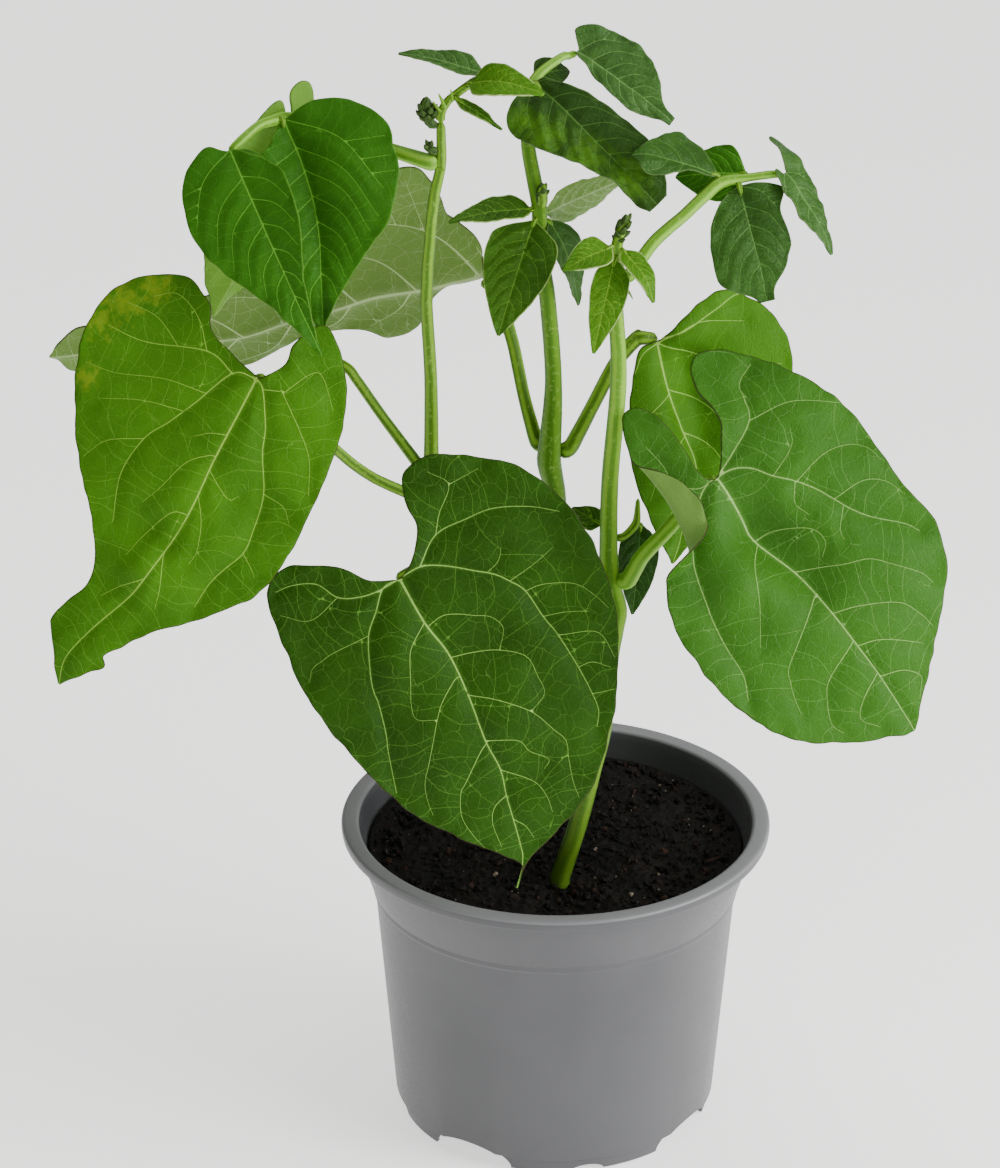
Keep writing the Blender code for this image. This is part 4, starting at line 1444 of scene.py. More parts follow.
BLADES = {
    "leaf_front": Blade(
        (-42, -44, 188), (-11, -66, 107), (0.0, -0.86, 0.5),
        ((-4, 5), (-11, 9), (-21, 9), (-26, 13), (-26, 22), (-16, 40), (2, 50), (26, 51), (49, 43),
         (69, 30), (80, 12.5), (84, 5)),
        ((-2, -7), (-9, -15), (-13, -27), (-9, -34), (4, -35), (20, -34), (38, -29), (58, -20),
         (70, -10), (79, -1), (84, 3.4)),
        arch=5, fold=(-0.05, -0.08), tone=LeafTone.DEEP, rib=0.42, valley=1.1, wave=1.1,
        dents=((22, 16, 8, 1.6), (44, 16, 9, -1.4), (20, -10, 8, -1.2), (60, -4, 7, 1.4), (70, 6, 6, -1.0)),
        midrib=((13, 2), (23, 5), (35, 6), (48, 6), (57, 7), (65, 6), (78, 5), (83, 4)),
        veins=LEAF_FRONT_VEINS, pairs=0,
    ),
    "leaf_left": Blade(
        (-79, -34, 242), (-132, -58, 164), (-0.1, -0.88, 0.45),
        ((-6, 4), (-15, 3.5), (-21, 8), (-13, 18), (-2, 25), (12, 29), (32, 32), (48, 31), (62, 22),
         (74, 12), (80, 8.8), (84, 6.4), (86.5, 8), (91, 4.5)),
        ((-1, -8), (-3, -17), (-9, -22), (-11, -31), (-4, -41), (6, -46), (17, -45), (31, -38),
         (44, -28), (56, -15), (68, -8), (78, -10), (83, -10.7), (86, -9.2)),
        arch=4, fold=(-0.1, -0.25), tone=LeafTone.SUNNY, rib=0.38, valley=1.0, wave=1.1,
        dents=((50, -3, 7, 2.6), (58, 4, 6, -2.4), (66, -4, 6, 2.0), (30, 14, 9, 1.4)),
        midrib=((17, 2), (26, 3), (40, 5), (52, 5), (65, 4), (79, 0), (90, -2)),
        veins=LEAF_LEFT_VEINS, pairs=0,
        blush=((-4, -36, 9), (3, -41, 10), (11, -43, 8), (25, -38, 6)),
    ),
    "leaf_right": Blade(
        (42, -30, 211), (95, -52, 147), (0.2, -0.86, 0.45),
        ((-4, 5), (-12, 11), (-22, 12), (-28, 17), (-24, 25), (-11, 34), (8, 40), (31, 38.5), (46, 39),
         (58, 33), (70, 20), (80, 7)),
        ((-3, -3), (-14, -1.5), (-25, -2), (-28, -8), (-18, -14.5), (-10, -22), (-2, -26.5), (6, -27.5),
         (12, -28), (22, -34), (40, -36), (56, -33), (70, -25), (83, -7)),
        arch=5, fold=(-0.1, -0.1), tone=LeafTone.BLUISH, rib=0.4, valley=1.1, wave=1.0,
        roll=Roll((-19, -13), (13, -18), 1.5, 162, bow=2.2, drawn_in=0.3),
        dents=((16, 0, 8, 5.5), (26, 1, 8, 5.0), (36, 3, 8, 3.2), (26, -16, 7, -1.4),
               (50, 24, 9, -1.4), (0, 26, 9, -1.6), (60, -18, 9, 1.2), (12, 12, 6, -1.2)),
        midrib=((13, -1), (20, -2), (34, 1), (47, 1), (58, 1), (67, 1), (78, 0.5)),
        veins=LEAF_RIGHT_VEINS, pairs=0,
    ),
    "leaf_back_right": Blade(
        (27, 12, 232), (32, 4, 169), (0.2, -0.8, 0.5),
        ((-7, 9), (-11, 19), (-8, 27), (0, 35), (12, 38), (27, 34), (41, 23), (54, 9)),
        ((2, -5), (11, -9), (22, -11), (36, -10), (50, -6)),
        arch=3, fold=(-0.1, -0.1), tone=LeafTone.BACK, rib=0.45, valley=1.2,
        midrib=((14, 2), (25, 5), (37, 8), (50, 4)),
        dents=((-2, 6, 4, -2.0), (-4, 11, 5, -3.0), (-7, 18, 5, -3.0), (8, 8, 6, 4.5), (18, 10, 7, 5.5),
               (28, 12, 7, 4.5)),
        veins=drawn((((0, 0), (-3, 9), (-8, 21), (-9, 28)),), 0.3, 0.1, 0),
    ),
    "leaf_back_left": Blade(
        (-20, 28, 245), (-139, 30, 220), (0.0, 0.8, 0.4),
        ((-1, 6), (-1, 14), (5, 24), (6, 37), (12, 45), (24, 42), (40, 30), (63, 16), (90, 11), (112, 8)),
        ((10, -1.5), (16, -7), (22, -17), (30, -19), (38, -12), (52, -11), (68, -18), (90, -20),
         (108, -18), (117, -9)),
        arch=-2, fold=(0.05, 0.05), tone=LeafTone.BACK, rib=0.95, valley=1.4,
        midrib=((17, 0), (33, 1), (48, -1), (65, -4), (75, -4), (95, -2)), pairs=6,
    ),
    "leaf_left_back": Blade(
        (-73, 5, 210), (-100, -4, 164), (-0.2, -0.8, 0.5),
        ((-4, 4), (-7, 9), (-3, 13), (10, 15), (28, 12), (44, 5)),
        ((-4, -6), (-8, -12), (-3, -19), (10, -22), (28, -18), (44, -7)),
        arch=3, tone=LeafTone.BACK,
    ),
    "leaflet_upper_left_end": Blade(
        (-86, -12, 297), (-62, -38, 250), (-0.1, -0.85, 0.5),
        ((4, 5), (8, 9), (15, 11), (27, 9), (40, 4), (53, 1.2)),
        ((-3, -6), (1, -13), (8, -17), (18, -18), (30, -14), (42, -7), (54, -2)),
        arch=3, fold=(-0.15, 0.15), tone=LeafTone.FRESH, pairs=7, quilt=0.7, valley=1.5,
    ),
    "leaflet_upper_left_side": Blade(
        (-71, -2, 302), (-62, -20, 247), (-0.1, -0.85, 0.5),
        ((-3, 8), (-2, 18), (4, 26), (13, 28), (22, 27), (32, 22), (43, 11), (53, 3)),
        ((5, -3.5), (10, -9), (18, -13), (28, -13), (38, -9), (50, -3)),
        arch=4, fold=(-0.1, -0.1), seat="petiole_upper_left", tone=LeafTone.FRESH,
        midrib=((14, 3), (26, 4), (39, 3)), pairs=7, quilt=0.7, valley=2.2,
        dents=((10, 2, 7, 2.4), (22, 3, 8, 3.0), (34, 3, 7, 2.4), (14, 17, 8, -1.6)),
    ),
    "leaflet_upper_left_back": Blade(
        (-72, 7, 299), (-92, 4, 243), (-0.45, 0.8, 0.25),
        ((-4, 3.4), (-1, 7), (6, 12), (18, 16), (33, 15), (45, 10), (56, 3)),
        ((-6, 0.6), (-9, -1.5), (-9.2, -5), (-5, -8), (0, -9.5), (10, -14), (22, -17), (36, -13), (49, -5)),
        arch=-3, seat="petiole_upper_left", tone=LeafTone.FRESH, pairs=5,
    ),
    "leaflet_top_side": Blade(
        (-5.5, 5, 309.5), (26, -8, 280), (0.1, -0.8, 0.6),
        ((1, 3), (8, 6), (16, 8.5), (27, 10), (36, 9), (42, 6.4)),
        ((-1, -7), (1, -12), (6, -14), (13, -12.5), (23, -8), (34, -4.6), (42, -4.4)),
        arch=2, fold=(-0.2, -0.2), seat="petiole_top", tone=LeafTone.DUSK, pairs=7, quilt=1.3, valley=2.0,
        pitch=0.5, point=6.5, wave=1.4, blush=((35, -1, 13), (24, -6, 13), (12, -9, 12), (5, -10, 8)),
    ),
    "leaflet_top_end": Blade(
        (5, 16, 314), (30, 8, 297), (0.3, -0.8, 0.5),
        ((-4, 4), (-1, 8), (5, 10.5), (13, 11), (20, 8), (27, 2)),
        ((3, -2), (12, -4.5), (21, -5), (28, -2)),
        arch=1.5, fold=(-0.1, -0.1), tone=LeafTone.CREST, pairs=6, pitch=0.5, quilt=1.1, valley=1.2,
        point=2.6, wave=1.5,
    ),
    "leaflet_top_back": leaflet(
        (-6, 12, 308.6), (3, 21, 306.6), (0.0, -0.7, 0.7), 4.5, 4.5, arch=1, seat="petiole_top",
        tone=LeafTone.DUSK,
    ),
    "leaflet_upper_right_end": Blade(
        (60, 2, 285), (72.5, -6, 265), (0.7, -0.5, 0.4),
        ((-5, 2.5), (-10, 5.5), (-8, 8), (-1, 8), (8, 6), (17, 3)),
        ((-2, -3), (5, -5), (14, -5), (20, -2.4)),
        arch=1.5, fold=(-0.2, -0.2), tone=LeafTone.CREST, pitch=0.5, quilt=1.0, wave=1.4,
    ),
    "leaflet_upper_right_front": Blade(
        (48, -2.5, 281.5), (55, -12, 254), (0.1, -0.85, 0.5),
        ((0, 5), (3, 11), (9, 9), (16, 10), (22, 8), (28, 3)),
        ((4, -7), (11, -11), (18, -12), (25, -11), (29, -4)),
        arch=1.5, fold=(-0.1, -0.1), seat="petiole_upper_right", tone=LeafTone.TOP, pitch=0.5, quilt=0.7,
        pairs=5, valley=1.2, wave=1.8, point=4.0,
    ),
    "leaflet_upper_right_inner": Blade(
        (41, 1, 287), (19, -8, 294), (-0.1, -0.6, 0.8),
        ((3, 1), (8, 1.5), (14, 3.5), (20, 5.5), (24, 4)),
        ((3, -5), (8, -9), (14, -9), (21, -5)),
        arch=2, fold=(-0.2, -0.2), seat="petiole_upper_right", tone=LeafTone.TOP, pitch=0.5, quilt=0.9,
        wave=1.4,
    ),
    "leaflet_upper_right_back": leaflet(
        (49, 3.5, 285), (31, 9, 281), (0.1, -0.7, 0.6), 8, 8, arch=1, seat="petiole_upper_right",
        tone=LeafTone.FRESH,
    ),
    "leaflet_crown_left_long": leaflet(
        (-20, -0.5, 314.2), (-42, 2.5, 318.6), (0.1, -0.45, 0.9), 3.6, 3.2, arch=1, fold=(0.5, 0.4),
        tone=LeafTone.CREST, valley=1.2,
    ),
    "leaflet_crown_left_end": leaflet(
        (-23.5, -3, 312), (-4, -10, 311.5), (0.1, -0.6, 0.8), 6.5, 5, arch=3, fold=(0.5, 0.2),
        seat="petiole_top_left", tone=LeafTone.TENDER, valley=0.8,
    ),
    "leaflet_crown_left_low": leaflet(
        (-26, -5.5, 308), (-15, -12, 302.5), (0.3, -0.6, 0.7), 2, 2, seat="petiole_top_left",
    ),
    "leaflet_crown_centre_left": leaflet(
        (-7.4, 3.5, 274), (-29, -4, 273), (0.0, -0.45, 0.9), 4.5, 4.5, arch=2, seat="stem_centre",
        fold=(0.3, 0.3),
    ),
    "leaflet_crown_centre_front": leaflet(
        (-6.5, 2.5, 271), (-16, -14, 245), (-0.1, -0.85, 0.5), 10, 9, arch=2, fold=(-0.1, -0.1),
        seat="stem_centre", valley=1.2, quilt=1.2,
    ),
    "leaflet_crown_centre_right": leaflet(
        (-2.5, 5, 270), (5.5, 3, 246.5), (0.7, -0.6, 0.4), 5, 6, arch=2, seat="stem_centre",
        tone=LeafTone.TOP,
    ),
    "leaflet_crown_centre_back": leaflet(
        (-3.5, 7.5, 272), (18, 18, 278.5), (0.0, 0.75, 0.4), 6, 9, arch=-1, seat="stem_centre",
    ),
    "leaflet_crown_right_left": leaflet(
        (13.5, -15.5, 271), (1, -23, 267.5), (-0.1, -0.6, 0.75), 5, 5, arch=1, seat="bud_right",
        tone=LeafTone.TENDER,
    ),
    "leaflet_crown_right_front": leaflet(
        (14.5, -16.5, 268), (9, -28, 246), (0.0, -0.85, 0.5), 4.5, 5.5, arch=1, fold=(-0.2, -0.2),
        seat="bud_right", tone=LeafTone.TENDER,
    ),
    "leaflet_crown_right_right": leaflet(
        (16.8, -15.4, 270), (25, -24, 259), (0.5, -0.6, 0.6), 4, 4, arch=1.5, seat="bud_right",
        tone=LeafTone.TENDER,
    ),
    "leaf_axil_right": leaflet(
        (23.5, -12, 188), (20.5, -13, 162), (0.1, -0.8, 0.5), 5.5, 5.5, arch=1, seat="bud_axil",
        tone=LeafTone.TOP,
    ),
    "leaf_axil_left": leaflet(
        (11.2, -14, 190), (4, -12, 194), (0.0, -0.7, 0.7), 3.5, 3.5, seat="stem_right",
    ),
}

BUDS = {
    "bud_left": Stalk(
        ((-33.5, -3.2, 300.6), (-35, -3.4, 304.5), (-34.6, -3.6, 308.5)), (1.0, 2.2, 0.8), step=2.0,
        seat="stem_left", tone=StalkTone.BUD,
    ),
    "bud_left_side": Stalk(
        ((-33.6, -4, 293.5), (-34.4, -4.4, 296)), (1.2, 0.8), step=2.0, seat="stem_left",
        tone=StalkTone.BUD,
    ),
    "bud_centre": Stalk(
        ((-4.6, 3, 276.2), (-4.2, 2, 279.5), (-3.9, 1.6, 282)), (1.2, 1.5, 0.7), step=2.0,
        seat="stem_centre",
    ),
    "bud_right": Stalk(
        ((15, -14, 266.5), (15.2, -14, 270), (16, -14, 274), (18.4, -14, 279.5)), (1.5, 1.6, 1.5, 0.6),
        step=2.5,
    ),
    "bud_axil": Stalk(
        ((17.6, -16, 186.8), (21, -13.5, 189.5), (21.6, -13, 197)), (1.0, 1.2, 0.5), step=3.0,
        seat="stem_right",
    ),
}

BUD_SCALES = {
    "bud_left": BudScales((-34.4, -3.3, 302.0), (-34.6, -3.6, 306.9), 2.3, 2.5, 21),
    "bud_left_side": BudScales((-33.9, -4.2, 293.8), (-34.4, -4.4, 296.2), 1.0, 2.0, 6),
    "bud_centre": BudScales((-4.5, 2.6, 277.2), (-3.9, 1.6, 281.6), 1.1, 2.4, 9),
    "bud_right": BudScales((15.4, -14, 272.0), (18.0, -14, 279.2), 1.3, 3.0, 13),
}

STIPULES = tuple(
    Stalk(points, radii, tone=tone)
    for points, radii, tone in (
        (((-29.6, -3.2, 304.6), (-30.4, -4.4, 307.2), (-31.6, -4.6, 309.8)), (0.75, 0.6, 0.15),
         StalkTone.LIGHT),
        (((-30.2, -3.2, 303.6), (-31.8, -4.6, 305.6), (-33.2, -4.8, 307.8)), (0.6, 0.5, 0.12),
         StalkTone.MIDDLE),
        (((-28.0, -3.4, 307.0), (-28.0, -4.6, 309.0), (-28.4, -5.0, 311.2)), (0.6, 0.4, 0.12),
         StalkTone.LIGHT),
        (((-33.5, -2.6, 289.0), (-31.6, -4.2, 288.6), (-29.8, -4.8, 288.2)), (0.6, 0.45, 0.12),
         StalkTone.MIDDLE),
        (((15.0, -15.5, 262.0), (18.0, -17.6, 259.6), (19.6, -18.2, 257.0)), (0.6, 0.4, 0.12),
         StalkTone.MIDDLE),
        (((14.4, -15.5, 262.0), (12.2, -17.0, 260.6), (11.2, -17.6, 259.0)), (0.6, 0.4, 0.12),
         StalkTone.MIDDLE),
        (((-5.0, 5.0, 262.0), (-2.2, 2.6, 260.6), (-0.4, 2.0, 258.8)), (0.6, 0.4, 0.12),
         StalkTone.MIDDLE),
        (((-6.6, 5.0, 301.0), (-5.0, 4.4, 305.0), (-4.6, 4.0, 307.4)), (0.7, 0.4, 0.12),
         StalkTone.MIDDLE),
    )
)


# ---------------------------------------------------------------- sub-assemblies


@dataclass(frozen=True)
class BeanPlant:
    """The three seedlings: stems, petioles, leaf blades and growing tips."""

    sunk: float = 4.0  # how far the stems go down into the peat

    def grown(self, stalk: Stalk, stalks: dict[str, Stalk], bite: float) -> Stalk:
        """A stalk that leaves its seat at a right angle and ends under the foot of its blade.

        Args:
            stalk: the stalk as listed.
            stalks: all that are placed already.
            bite: how far its ends go into what they join, in radii; 0 gives the solid's own line.

        Returns:
            The placed stalk.
        """
        points, radii = [Vector(p) for p in stalk.points], list(stalk.radii)
        if stalk.seat:
            aim = points[0]
            points[0] = stalks[stalk.seat].beside(aim, GAP if not bite else -bite)
            points.insert(1, stalks[stalk.seat].beside(aim, GAP + 0.8 * radii[0]))
            radii.insert(0, radii[0] * (1.25 if bite else 1.0))
        elif bite:
            tops = [Vector(stem.points[-1]) for stem in STEMS.values()]
            top = min(tops, key=lambda spot: (spot - points[0]).length)
            points.insert(0, top - (points[0] - top).normalized() * 1.0)
            radii.insert(0, radii[0] * 1.05)
        if stalk.carries:
            blade = BLADES[stalk.carries]
            _, _, face = blade.axes()
            sunk = radii[-1] + (SOLID_BLADE / 2 + GAP if not bite else 0.5 + 0.6 * blade.valley)
            under = Vector(blade.base) - face * sunk
            way = under - points[-1]
            way = (way - face * way.dot(face)).normalized()
            points += [under - way * 2.0 * radii[-1], under + way * 0.5 * radii[-1]]
            radii += [radii[-1], radii[-1] * (0.7 if bite else 1.0)]
        return replace(stalk, points=tuple(tuple(p) for p in points), radii=tuple(radii))

    def build(self) -> None:
        """Builds and hangs every piece of the plant."""
        stalks = dict(STEMS)
        for name, stalk in {**PETIOLES, **BUDS}.items():
            stalks[name] = self.grown(stalk, stalks, 0.0)
        for name, stalk in STEMS.items():
            foot = Vector(stalk.points[0]) - Vector((0, 0, self.sunk))
            stalk = replace(stalk, points=(tuple(foot), *stalk.points[1:]))
            keep(stalk.build(f"{name}_ribbed"), "stem_green", name)
        for name, stalk in PETIOLES.items():
            keep(self.grown(stalk, stalks, 0.8).build(f"{name}_ribbed"), "stem_green", name)
        for name, stalk in BUDS.items():
            keep(self.grown(stalk, stalks, 0.6).build(f"{name}_shoot"), "young_green", name)
        for name, scales in BUD_SCALES.items():
            keep(scales.build(f"{name}_scales"), "young_green")
        for number, stipule in enumerate(STIPULES, 1):
            keep(stipule.build(f"stipule_{number}"), "young_green")
        for name, blade in BLADES.items():
            if blade.seat:
                foot = stalks[blade.seat].beside(Vector(blade.base), GAP + SOLID_BLADE / 2)
                blade = replace(blade, base=tuple(foot))
                along, _, face = blade.axes()
                inside = stalks[blade.seat].beside(foot, -0.8)
                stem = Stalk(
                    (tuple(inside), tuple(foot - face * 0.3), tuple(foot + along * 2.5 - face * 0.45)),
                    (0.9, 0.8, 0.45), step=1.0,
                )
                keep(stem.build(f"{name}_stalklet"), "stem_green")
            slot = "young_green" if name.startswith(("leaflet_crown", "leaf_axil")) else "leaf_green"
            keep(blade.build(f"{name}_veined"), slot, name)


@dataclass(frozen=True)
class Corner:
    """A corner of a turned profile, with its rounding."""

    radius: float
    height: float
    round: float = 0.0


@dataclass(frozen=True)
class NurseryPot:
    """The moulded pot: rolled rim, collar, step, tapered wall and an arched foot."""

    rim_radius: float = 60.0
    rim_inner: float = 54.4
    rim_lip: float = 3.0
    drain: float = 7.0  # where the profile of the floor starts
    smooth_angle: float = 32.0  # degrees; sharper edges stay sharp
    collar_top: tuple[float, float] = (56.0, 87.6)
    collar_foot: tuple[float, float] = (51.0, 71.8)
    wall_top: tuple[float, float] = (50.5, 71.0)
    wall_foot: tuple[float, float] = (45.2, 7.9)
    foot_top: float = 44.3
    foot_bottom: float = 43.7
    wall: float = 1.2
    inner_lip: float = 90.6
    floor: float = 10.4
    arch: tuple[float, float] = (25.0, 6.2)
    notch: tuple[float, float] = (9.0, 1.8)
    arch_angles: tuple[int, ...] = (-33, -123, -213, -303)
    notch_angles: tuple[int, ...] = (-78, -168, -258, -348)
    steps: int = 256
    finish: PotPlastic = PotPlastic()

    def inner_radius(self, height: float) -> float:
        """The inside of the pot at a height."""
        waist = self.wall_top[0] - self.wall
        if height > self.wall_top[1]:
            share = (height - self.wall_top[1]) / (self.inner_lip - self.wall_top[1])
            return waist + (self.rim_inner - waist) * share
        share = (height - self.wall_foot[1]) / (self.wall_top[1] - self.wall_foot[1])
        return self.wall_foot[0] - self.wall + (self.wall_top[0] - self.wall_foot[0]) * share

    def corners(self) -> list[Corner]:
        """From the middle of the floor up the inside, over the rim, and down the outside."""
        floor_top, rim = self.floor + self.wall, RIM_TOP + RIM_RISE
        skirt = self.foot_bottom - self.wall
        return [
            Corner(self.drain, floor_top),
            Corner(self.inner_radius(floor_top), floor_top, 1.5),
            Corner(self.inner_radius(self.wall_top[1]), self.wall_top[1], 0.8),
            Corner(self.rim_inner, self.inner_lip, 1.2),
            Corner(self.rim_inner + 0.9, rim, 0.9),
            Corner(self.rim_radius, rim - 0.1, 1.3),
            Corner(self.rim_radius - 0.3, rim - self.rim_lip, 0.5),
            Corner(self.rim_radius - 1.3, rim - self.rim_lip - 0.1, 0.3),
            Corner(self.rim_radius - 1.7, rim - self.rim_lip + 0.9, 0.3),
            Corner(self.collar_top[0] + 0.9, rim - self.rim_lip + 0.7, 0.4),
            Corner(*self.collar_top, 0.5),
            Corner(self.collar_foot[0] + 0.45, self.collar_foot[1] + 1.9, 0.25),
            Corner(self.collar_foot[0] + 0.15, self.collar_foot[1] + 1.6, 0.2),
            Corner(self.collar_foot[0] + 0.15, self.collar_foot[1] + 0.1, 0.2),
            Corner(*self.wall_top, 0.2),
            Corner(self.wall_foot[0], self.wall_foot[1], 0.2),
            Corner(self.foot_top - 0.2, self.wall_foot[1] - 0.1, 0.2),
            Corner(self.foot_bottom, FOOT_LEVEL, 0.3),
            Corner(skirt, FOOT_LEVEL, 0.3),
            Corner(skirt + 0.3, self.floor, 0.4),
            Corner(self.drain, self.floor),
        ]

    def cutter(self, angle: float, width: float, height: float) -> bpy.types.Object:
        """An arch-shaped cutter across the foot."""
        deselect()
        bpy.ops.mesh.primitive_cylinder_add(vertices=64, radius=width / 2 * MM, depth=16 * MM)
        obj = bpy.context.object
        spot = Matrix.Rotation(math.radians(angle), 4, "Z") @ Matrix.Translation(
            (self.foot_top * MM, 0, FOOT_LEVEL * MM)
        )
        flat = Matrix.Diagonal((1, 1, 2 * height / width, 1)) @ Matrix.Rotation(math.radians(90), 4, "Y")
        obj.data.transform(Matrix.Translation(PLACE) @ spot @ flat)
        return obj

    def build(self) -> None:
        """Builds the pot from a circle that is drawn out along its profile."""
        obj = lathe("pot_moulded", rounded(self.corners()), self.steps)
        shapes = [(a, *self.arch) for a in self.arch_angles] + [(a, *self.notch) for a in self.notch_angles]
        for angle, width, height in shapes:
            cutter = self.cutter(angle, width, height)
            apply_modifier(obj, "BOOLEAN", operation="DIFFERENCE", solver="EXACT", object=cutter)
            bpy.data.objects.remove(cutter)
        obj.data.materials.clear()
        obj.data.materials.append(self.finish.material())
        take(obj)
        bpy.ops.object.shade_smooth_by_angle(angle=math.radians(self.smooth_angle))
        keep(obj, "pot_plastic", "pot")


def rounded(corners: Sequence[Corner], steps: int = 5) -> list[tuple[float, float]]:
    """A profile with its corners rounded.

    Args:
        corners: the corners in order.
        steps: points on each round.

    Returns:
        (radius, height) points.
    """
    points = [(corners[0].radius, corners[0].height)]
    for before, here, after in zip(corners, corners[1:], corners[2:]):
        spot = Vector((here.radius, here.height))
        back = Vector((before.radius, before.height)) - spot
        ahead = Vector((after.radius, after.height)) - spot
        reach = min(here.round, back.length * 0.48, ahead.length * 0.48)
        if reach < 0.01:
            points.append(tuple(spot))
            continue
        start, end = spot + back.normalized() * reach, spot + ahead.normalized() * reach
        for k in range(steps + 1):
            t = k / steps
            points.append(tuple(start * (1 - t) ** 2 + spot * 2 * t * (1 - t) + end * t**2))
    points.append((corners[-1].radius, corners[-1].height))
    return points


def lathe(name: str, profile: Sequence[tuple[float, float]], steps: int) -> bpy.types.Object:
    """A round body: a circle drawn out ring by ring along a profile, and closed at both ends.

    Args:
        name: the piece's name.
        profile: (radius, height) points in millimetres.
        steps: sides of the circle.

    Returns:
        The body, with its place in its mesh.
    """
    deselect()
    radius, height = profile[0]
    bpy.ops.mesh.primitive_circle_add(
        vertices=steps, radius=radius, fill_type="NGON", location=(0, 0, height)
    )
    obj = bpy.context.object
    obj.name = name
    bpy.ops.object.mode_set(mode="EDIT")
    bpy.ops.mesh.select_mode(type="EDGE")
    bpy.ops.mesh.select_all(action="SELECT")
    for index, ((r0, z0), (r1, z1)) in enumerate(zip(profile, profile[1:])):
        extrude = bpy.ops.mesh.extrude_region_move if index else bpy.ops.mesh.extrude_edges_move
        extrude(TRANSFORM_OT_translate={"value": (0, 0, z1 - z0)})
        bpy.ops.transform.resize(value=(r1 / r0, r1 / r0, 1), center_override=(0, 0, z1))
    bpy.ops.mesh.edge_face_add()
    bpy.ops.mesh.select_all(action="SELECT")
    bpy.ops.mesh.normals_make_consistent(inside=False)
    bpy.ops.object.mode_set(mode="OBJECT")
    settle(obj)
    obj.data.transform(Matrix.Translation(PLACE) @ Matrix.Scale(MM, 4))
    LOG.info("%s: turned from %d points", name, len(profile))
    return obj


@dataclass(frozen=True)
class PeatBed:
    """The peat: a crumbly surface in the pot, with loose crumbs on it."""

    pot: NurseryPot
    finish: Peat = Peat()
    crumbs: int = 1700
    seed: int = 11
    rings: int = 84
    sides: int = 300
    inset: float = 0.5  # air between the peat and the pot

    def build(self) -> None:
        """Builds the bed and its crumbs."""
        edge = self.pot.inner_radius(SOIL_TOP) - self.inset
        shares = (k / self.rings for k in range(1, self.rings))
        top = [(edge, SOIL_TOP - 0.7), *((edge * (1 - share) ** 0.92, SOIL_TOP) for share in shares)]
        bottom = self.pot.floor + self.pot.wall + 0.6
        heights = (bottom, 40.0, self.pot.wall_top[1], 78.0)
        wall = [(self.pot.inner_radius(height) - self.inset, height) for height in heights]
        obj = lathe("peat_bed", [(6.0, bottom), *wall, *top], self.sides)
        mesh = obj.data
        for vertex in mesh.vertices:
            spot = (vertex.co - PLACE) / MM
            if spot.z < SOIL_TOP - 1.0:
                continue
            radius = math.hypot(spot.x, spot.y)
            calm = step_between(edge, edge - 2.5, radius)
            slow = noise.noise(spot * 0.09) * 1.1
            lumps = abs(noise.noise(spot * 0.42 + Vector((9, 3, 1)))) * 1.3
            grains = noise.fractal(spot * 1.6, 0.8, 2.1, 3) * 0.75
            vertex.co.z += (slow + lumps + grains) * calm * MM
        set_values(mesh, "tone", np.zeros(len(mesh.vertices)))
        material = self.finish.material()
        mesh.materials.clear()
        mesh.materials.append(material)
        mesh.shade_smooth()
        keep(obj, "peat", "soil")
        keep(self.loose(material, edge), "peat")

    def loose(self, material: bpy.types.Material, edge: float) -> bpy.types.Object:
        """Loose crumbs, as one piece of many small stones.

        Args:
            material: the peat.
            edge: radius of the bed.

        Returns:
            The piece.
        """
        deselect()
        bpy.ops.mesh.primitive_ico_sphere_add(subdivisions=2, radius=1.0)
        crumb = bpy.context.object
        shape = np.array([tuple(v.co) for v in crumb.data.vertices])
        faces = np.array([tuple(p.vertices) for p in crumb.data.polygons])
        bpy.data.objects.remove(crumb)
        dice = np.random.default_rng(self.seed)
        spots, polygons, tones = [], [], []
        for _ in range(self.crumbs):
            angle, reach = dice.uniform(0, math.tau), (edge - 2.0) * math.sqrt(dice.uniform(0, 1))
            size = 0.3 + 0.75 * dice.uniform(0, 1) ** 3
            stretch = dice.uniform(0.6, 1.5, 3) * size
            if dice.uniform() < 0.1:  # a fibre
                stretch *= (2.4, 0.4, 0.4)
            turn = Matrix.Rotation(dice.uniform(0, math.tau), 3, "Z")
            turn @= Matrix.Rotation(dice.uniform(-0.6, 0.6), 3, "X")
            rough = 1 + 0.22 * dice.standard_normal(len(shape))
            points = (shape * rough[:, None] * stretch) @ np.array(turn).T
            height = SOIL_TOP + 0.5 + 0.4 * dice.uniform()
            polygons += (faces + len(spots)).tolist()
            spots += (points + (math.cos(angle) * reach, math.sin(angle) * reach, height)).tolist()
            tones += [float(dice.uniform() ** 4)] * len(shape)
        mesh = bpy.data.meshes.new("peat_crumbs")
        mesh.from_pydata([to_world(p) for p in spots], [], polygons)
        set_values(mesh, "tone", np.array(tones))
        mesh.materials.append(material)
        mesh.shade_flat()
        return linked("peat_crumbs", mesh)


@dataclass(frozen=True)
class SoftBox:
    """A square lamp that looks at the plant; sizes in metres, power in watts."""

    name: str
    spot: Point
    size: float
    power: float


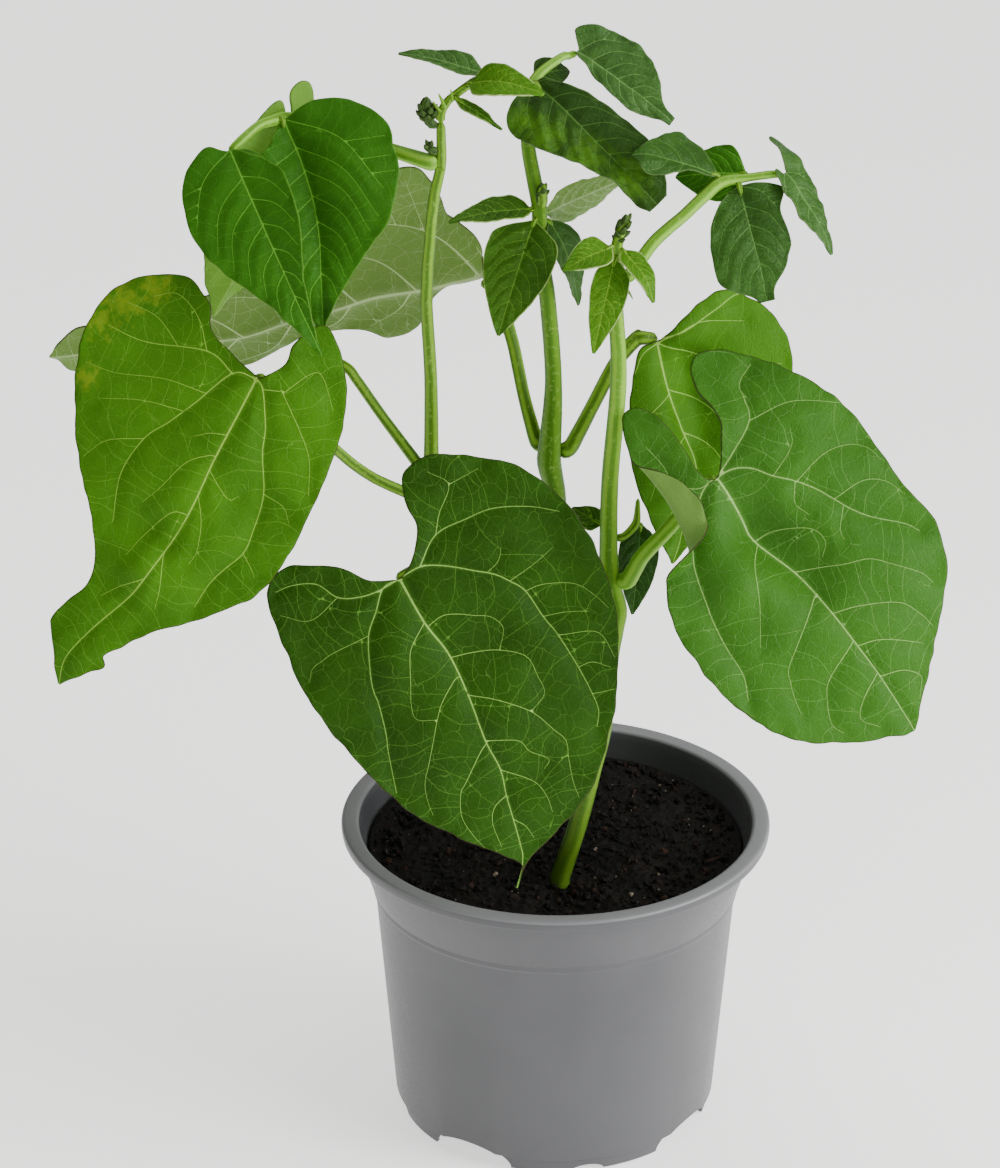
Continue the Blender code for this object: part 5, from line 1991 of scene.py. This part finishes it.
@dataclass(frozen=True)
class Studio:
    """Plain pale floor, soft light and the camera."""

    lens: float = 165.3
    eye: Point = (-15.5, -1317.1, 811.1)
    pitch: float = 63.868  # degrees up from straight down
    floor_colour: str = "#f4f4f2"
    floor_glow: float = 1.2  # lit from below, as a light table is
    floor_size: float = 60.0  # metres
    air: tuple[float, float] = (0.03, 0.52)  # brightness of the air on the left and on the right
    sight: float = 100.0  # metres that the camera sees
    aim: float = 0.15  # height that the lamps look at, in metres
    lamps: tuple[SoftBox, ...] = (
        SoftBox("key", (1.4, -0.8, 1.2), 1.0, 28.0),
        SoftBox("fill", (-0.7, -1.4, 1.1), 1.0, 5.5),
        SoftBox("side", (0.8, -0.2, 0.36), 0.35, 4.8),
        SoftBox("top", (-0.2, 0.4, 1.8), 1.4, 15.0),
    )

    def build(self) -> None:
        """Adds the floor, the lamps, the air and the camera."""
        self.add_floor()
        for lamp in self.lamps:
            self.add_lamp(lamp)
        self.add_air()
        self.add_camera()

    def add_floor(self) -> None:
        """Lays a floor of pale card that glows a little, just under the pot."""
        deselect()
        bpy.ops.mesh.primitive_plane_add(size=self.floor_size, location=(0, 0, -0.5 * MM))
        floor = bpy.context.object
        floor.name = "studio_floor"
        settle(floor)
        material, tree, shader = new_material("pale_card")
        card = linear(self.floor_colour)
        wire(tree, shader, {
            "Base Color": card, "Roughness": 0.9, "Emission Color": card,
            "Emission Strength": self.floor_glow,
        })
        floor.data.materials.append(material)

    def add_lamp(self, lamp: SoftBox) -> None:
        """Hangs one soft box, turned to the plant."""
        data = bpy.data.lights.new(f"{lamp.name}_light", "AREA")
        data.size = lamp.size
        data.energy = lamp.power
        light = linked(f"{lamp.name}_light", data)
        light.location = lamp.spot
        way = Vector(lamp.spot) - Vector((0.0, 0.0, self.aim))
        light.rotation_euler = way.to_track_quat("Z", "Y").to_euler()

    def add_air(self) -> None:
        """Adds white light from all round, brighter on the right."""
        world = bpy.data.worlds.new("studio_air")
        world.use_nodes = True
        tree = world.node_tree
        way = add_node(tree, "ShaderNodeTexCoord").outputs["Generated"]
        across = add_node(tree, "ShaderNodeSeparateXYZ", {0: way}).outputs[0]
        masks = smooth_masks(tree, {"air": (across, -0.9, 0.9, *self.air)})
        wire(tree, tree.nodes["Background"], {"Color": (1.0, 1.0, 1.0, 1.0), "Strength": masks["air"]})
        bpy.context.scene.world = world

    def add_camera(self) -> None:
        """Adds the camera."""
        data = bpy.data.cameras.new("studio_camera")
        data.lens = self.lens
        data.sensor_width = 36.0
        data.clip_end = self.sight
        camera = linked("studio_camera", data)
        camera.location = to_world(Vector(self.eye))
        camera.rotation_euler = (math.radians(self.pitch), 0.0, 0.0)
        bpy.context.scene.camera = camera


def main() -> None:
    """Builds every sub-assembly in order."""
    logging.basicConfig(level=logging.INFO, format="%(name)s: %(message)s")
    Studio().build()
    pot = NurseryPot()
    pot.build()
    PeatBed(pot).build()
    BeanPlant().build()
    deselect()
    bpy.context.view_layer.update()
    LOG.info("done")


if __name__ == "__main__":
    main()
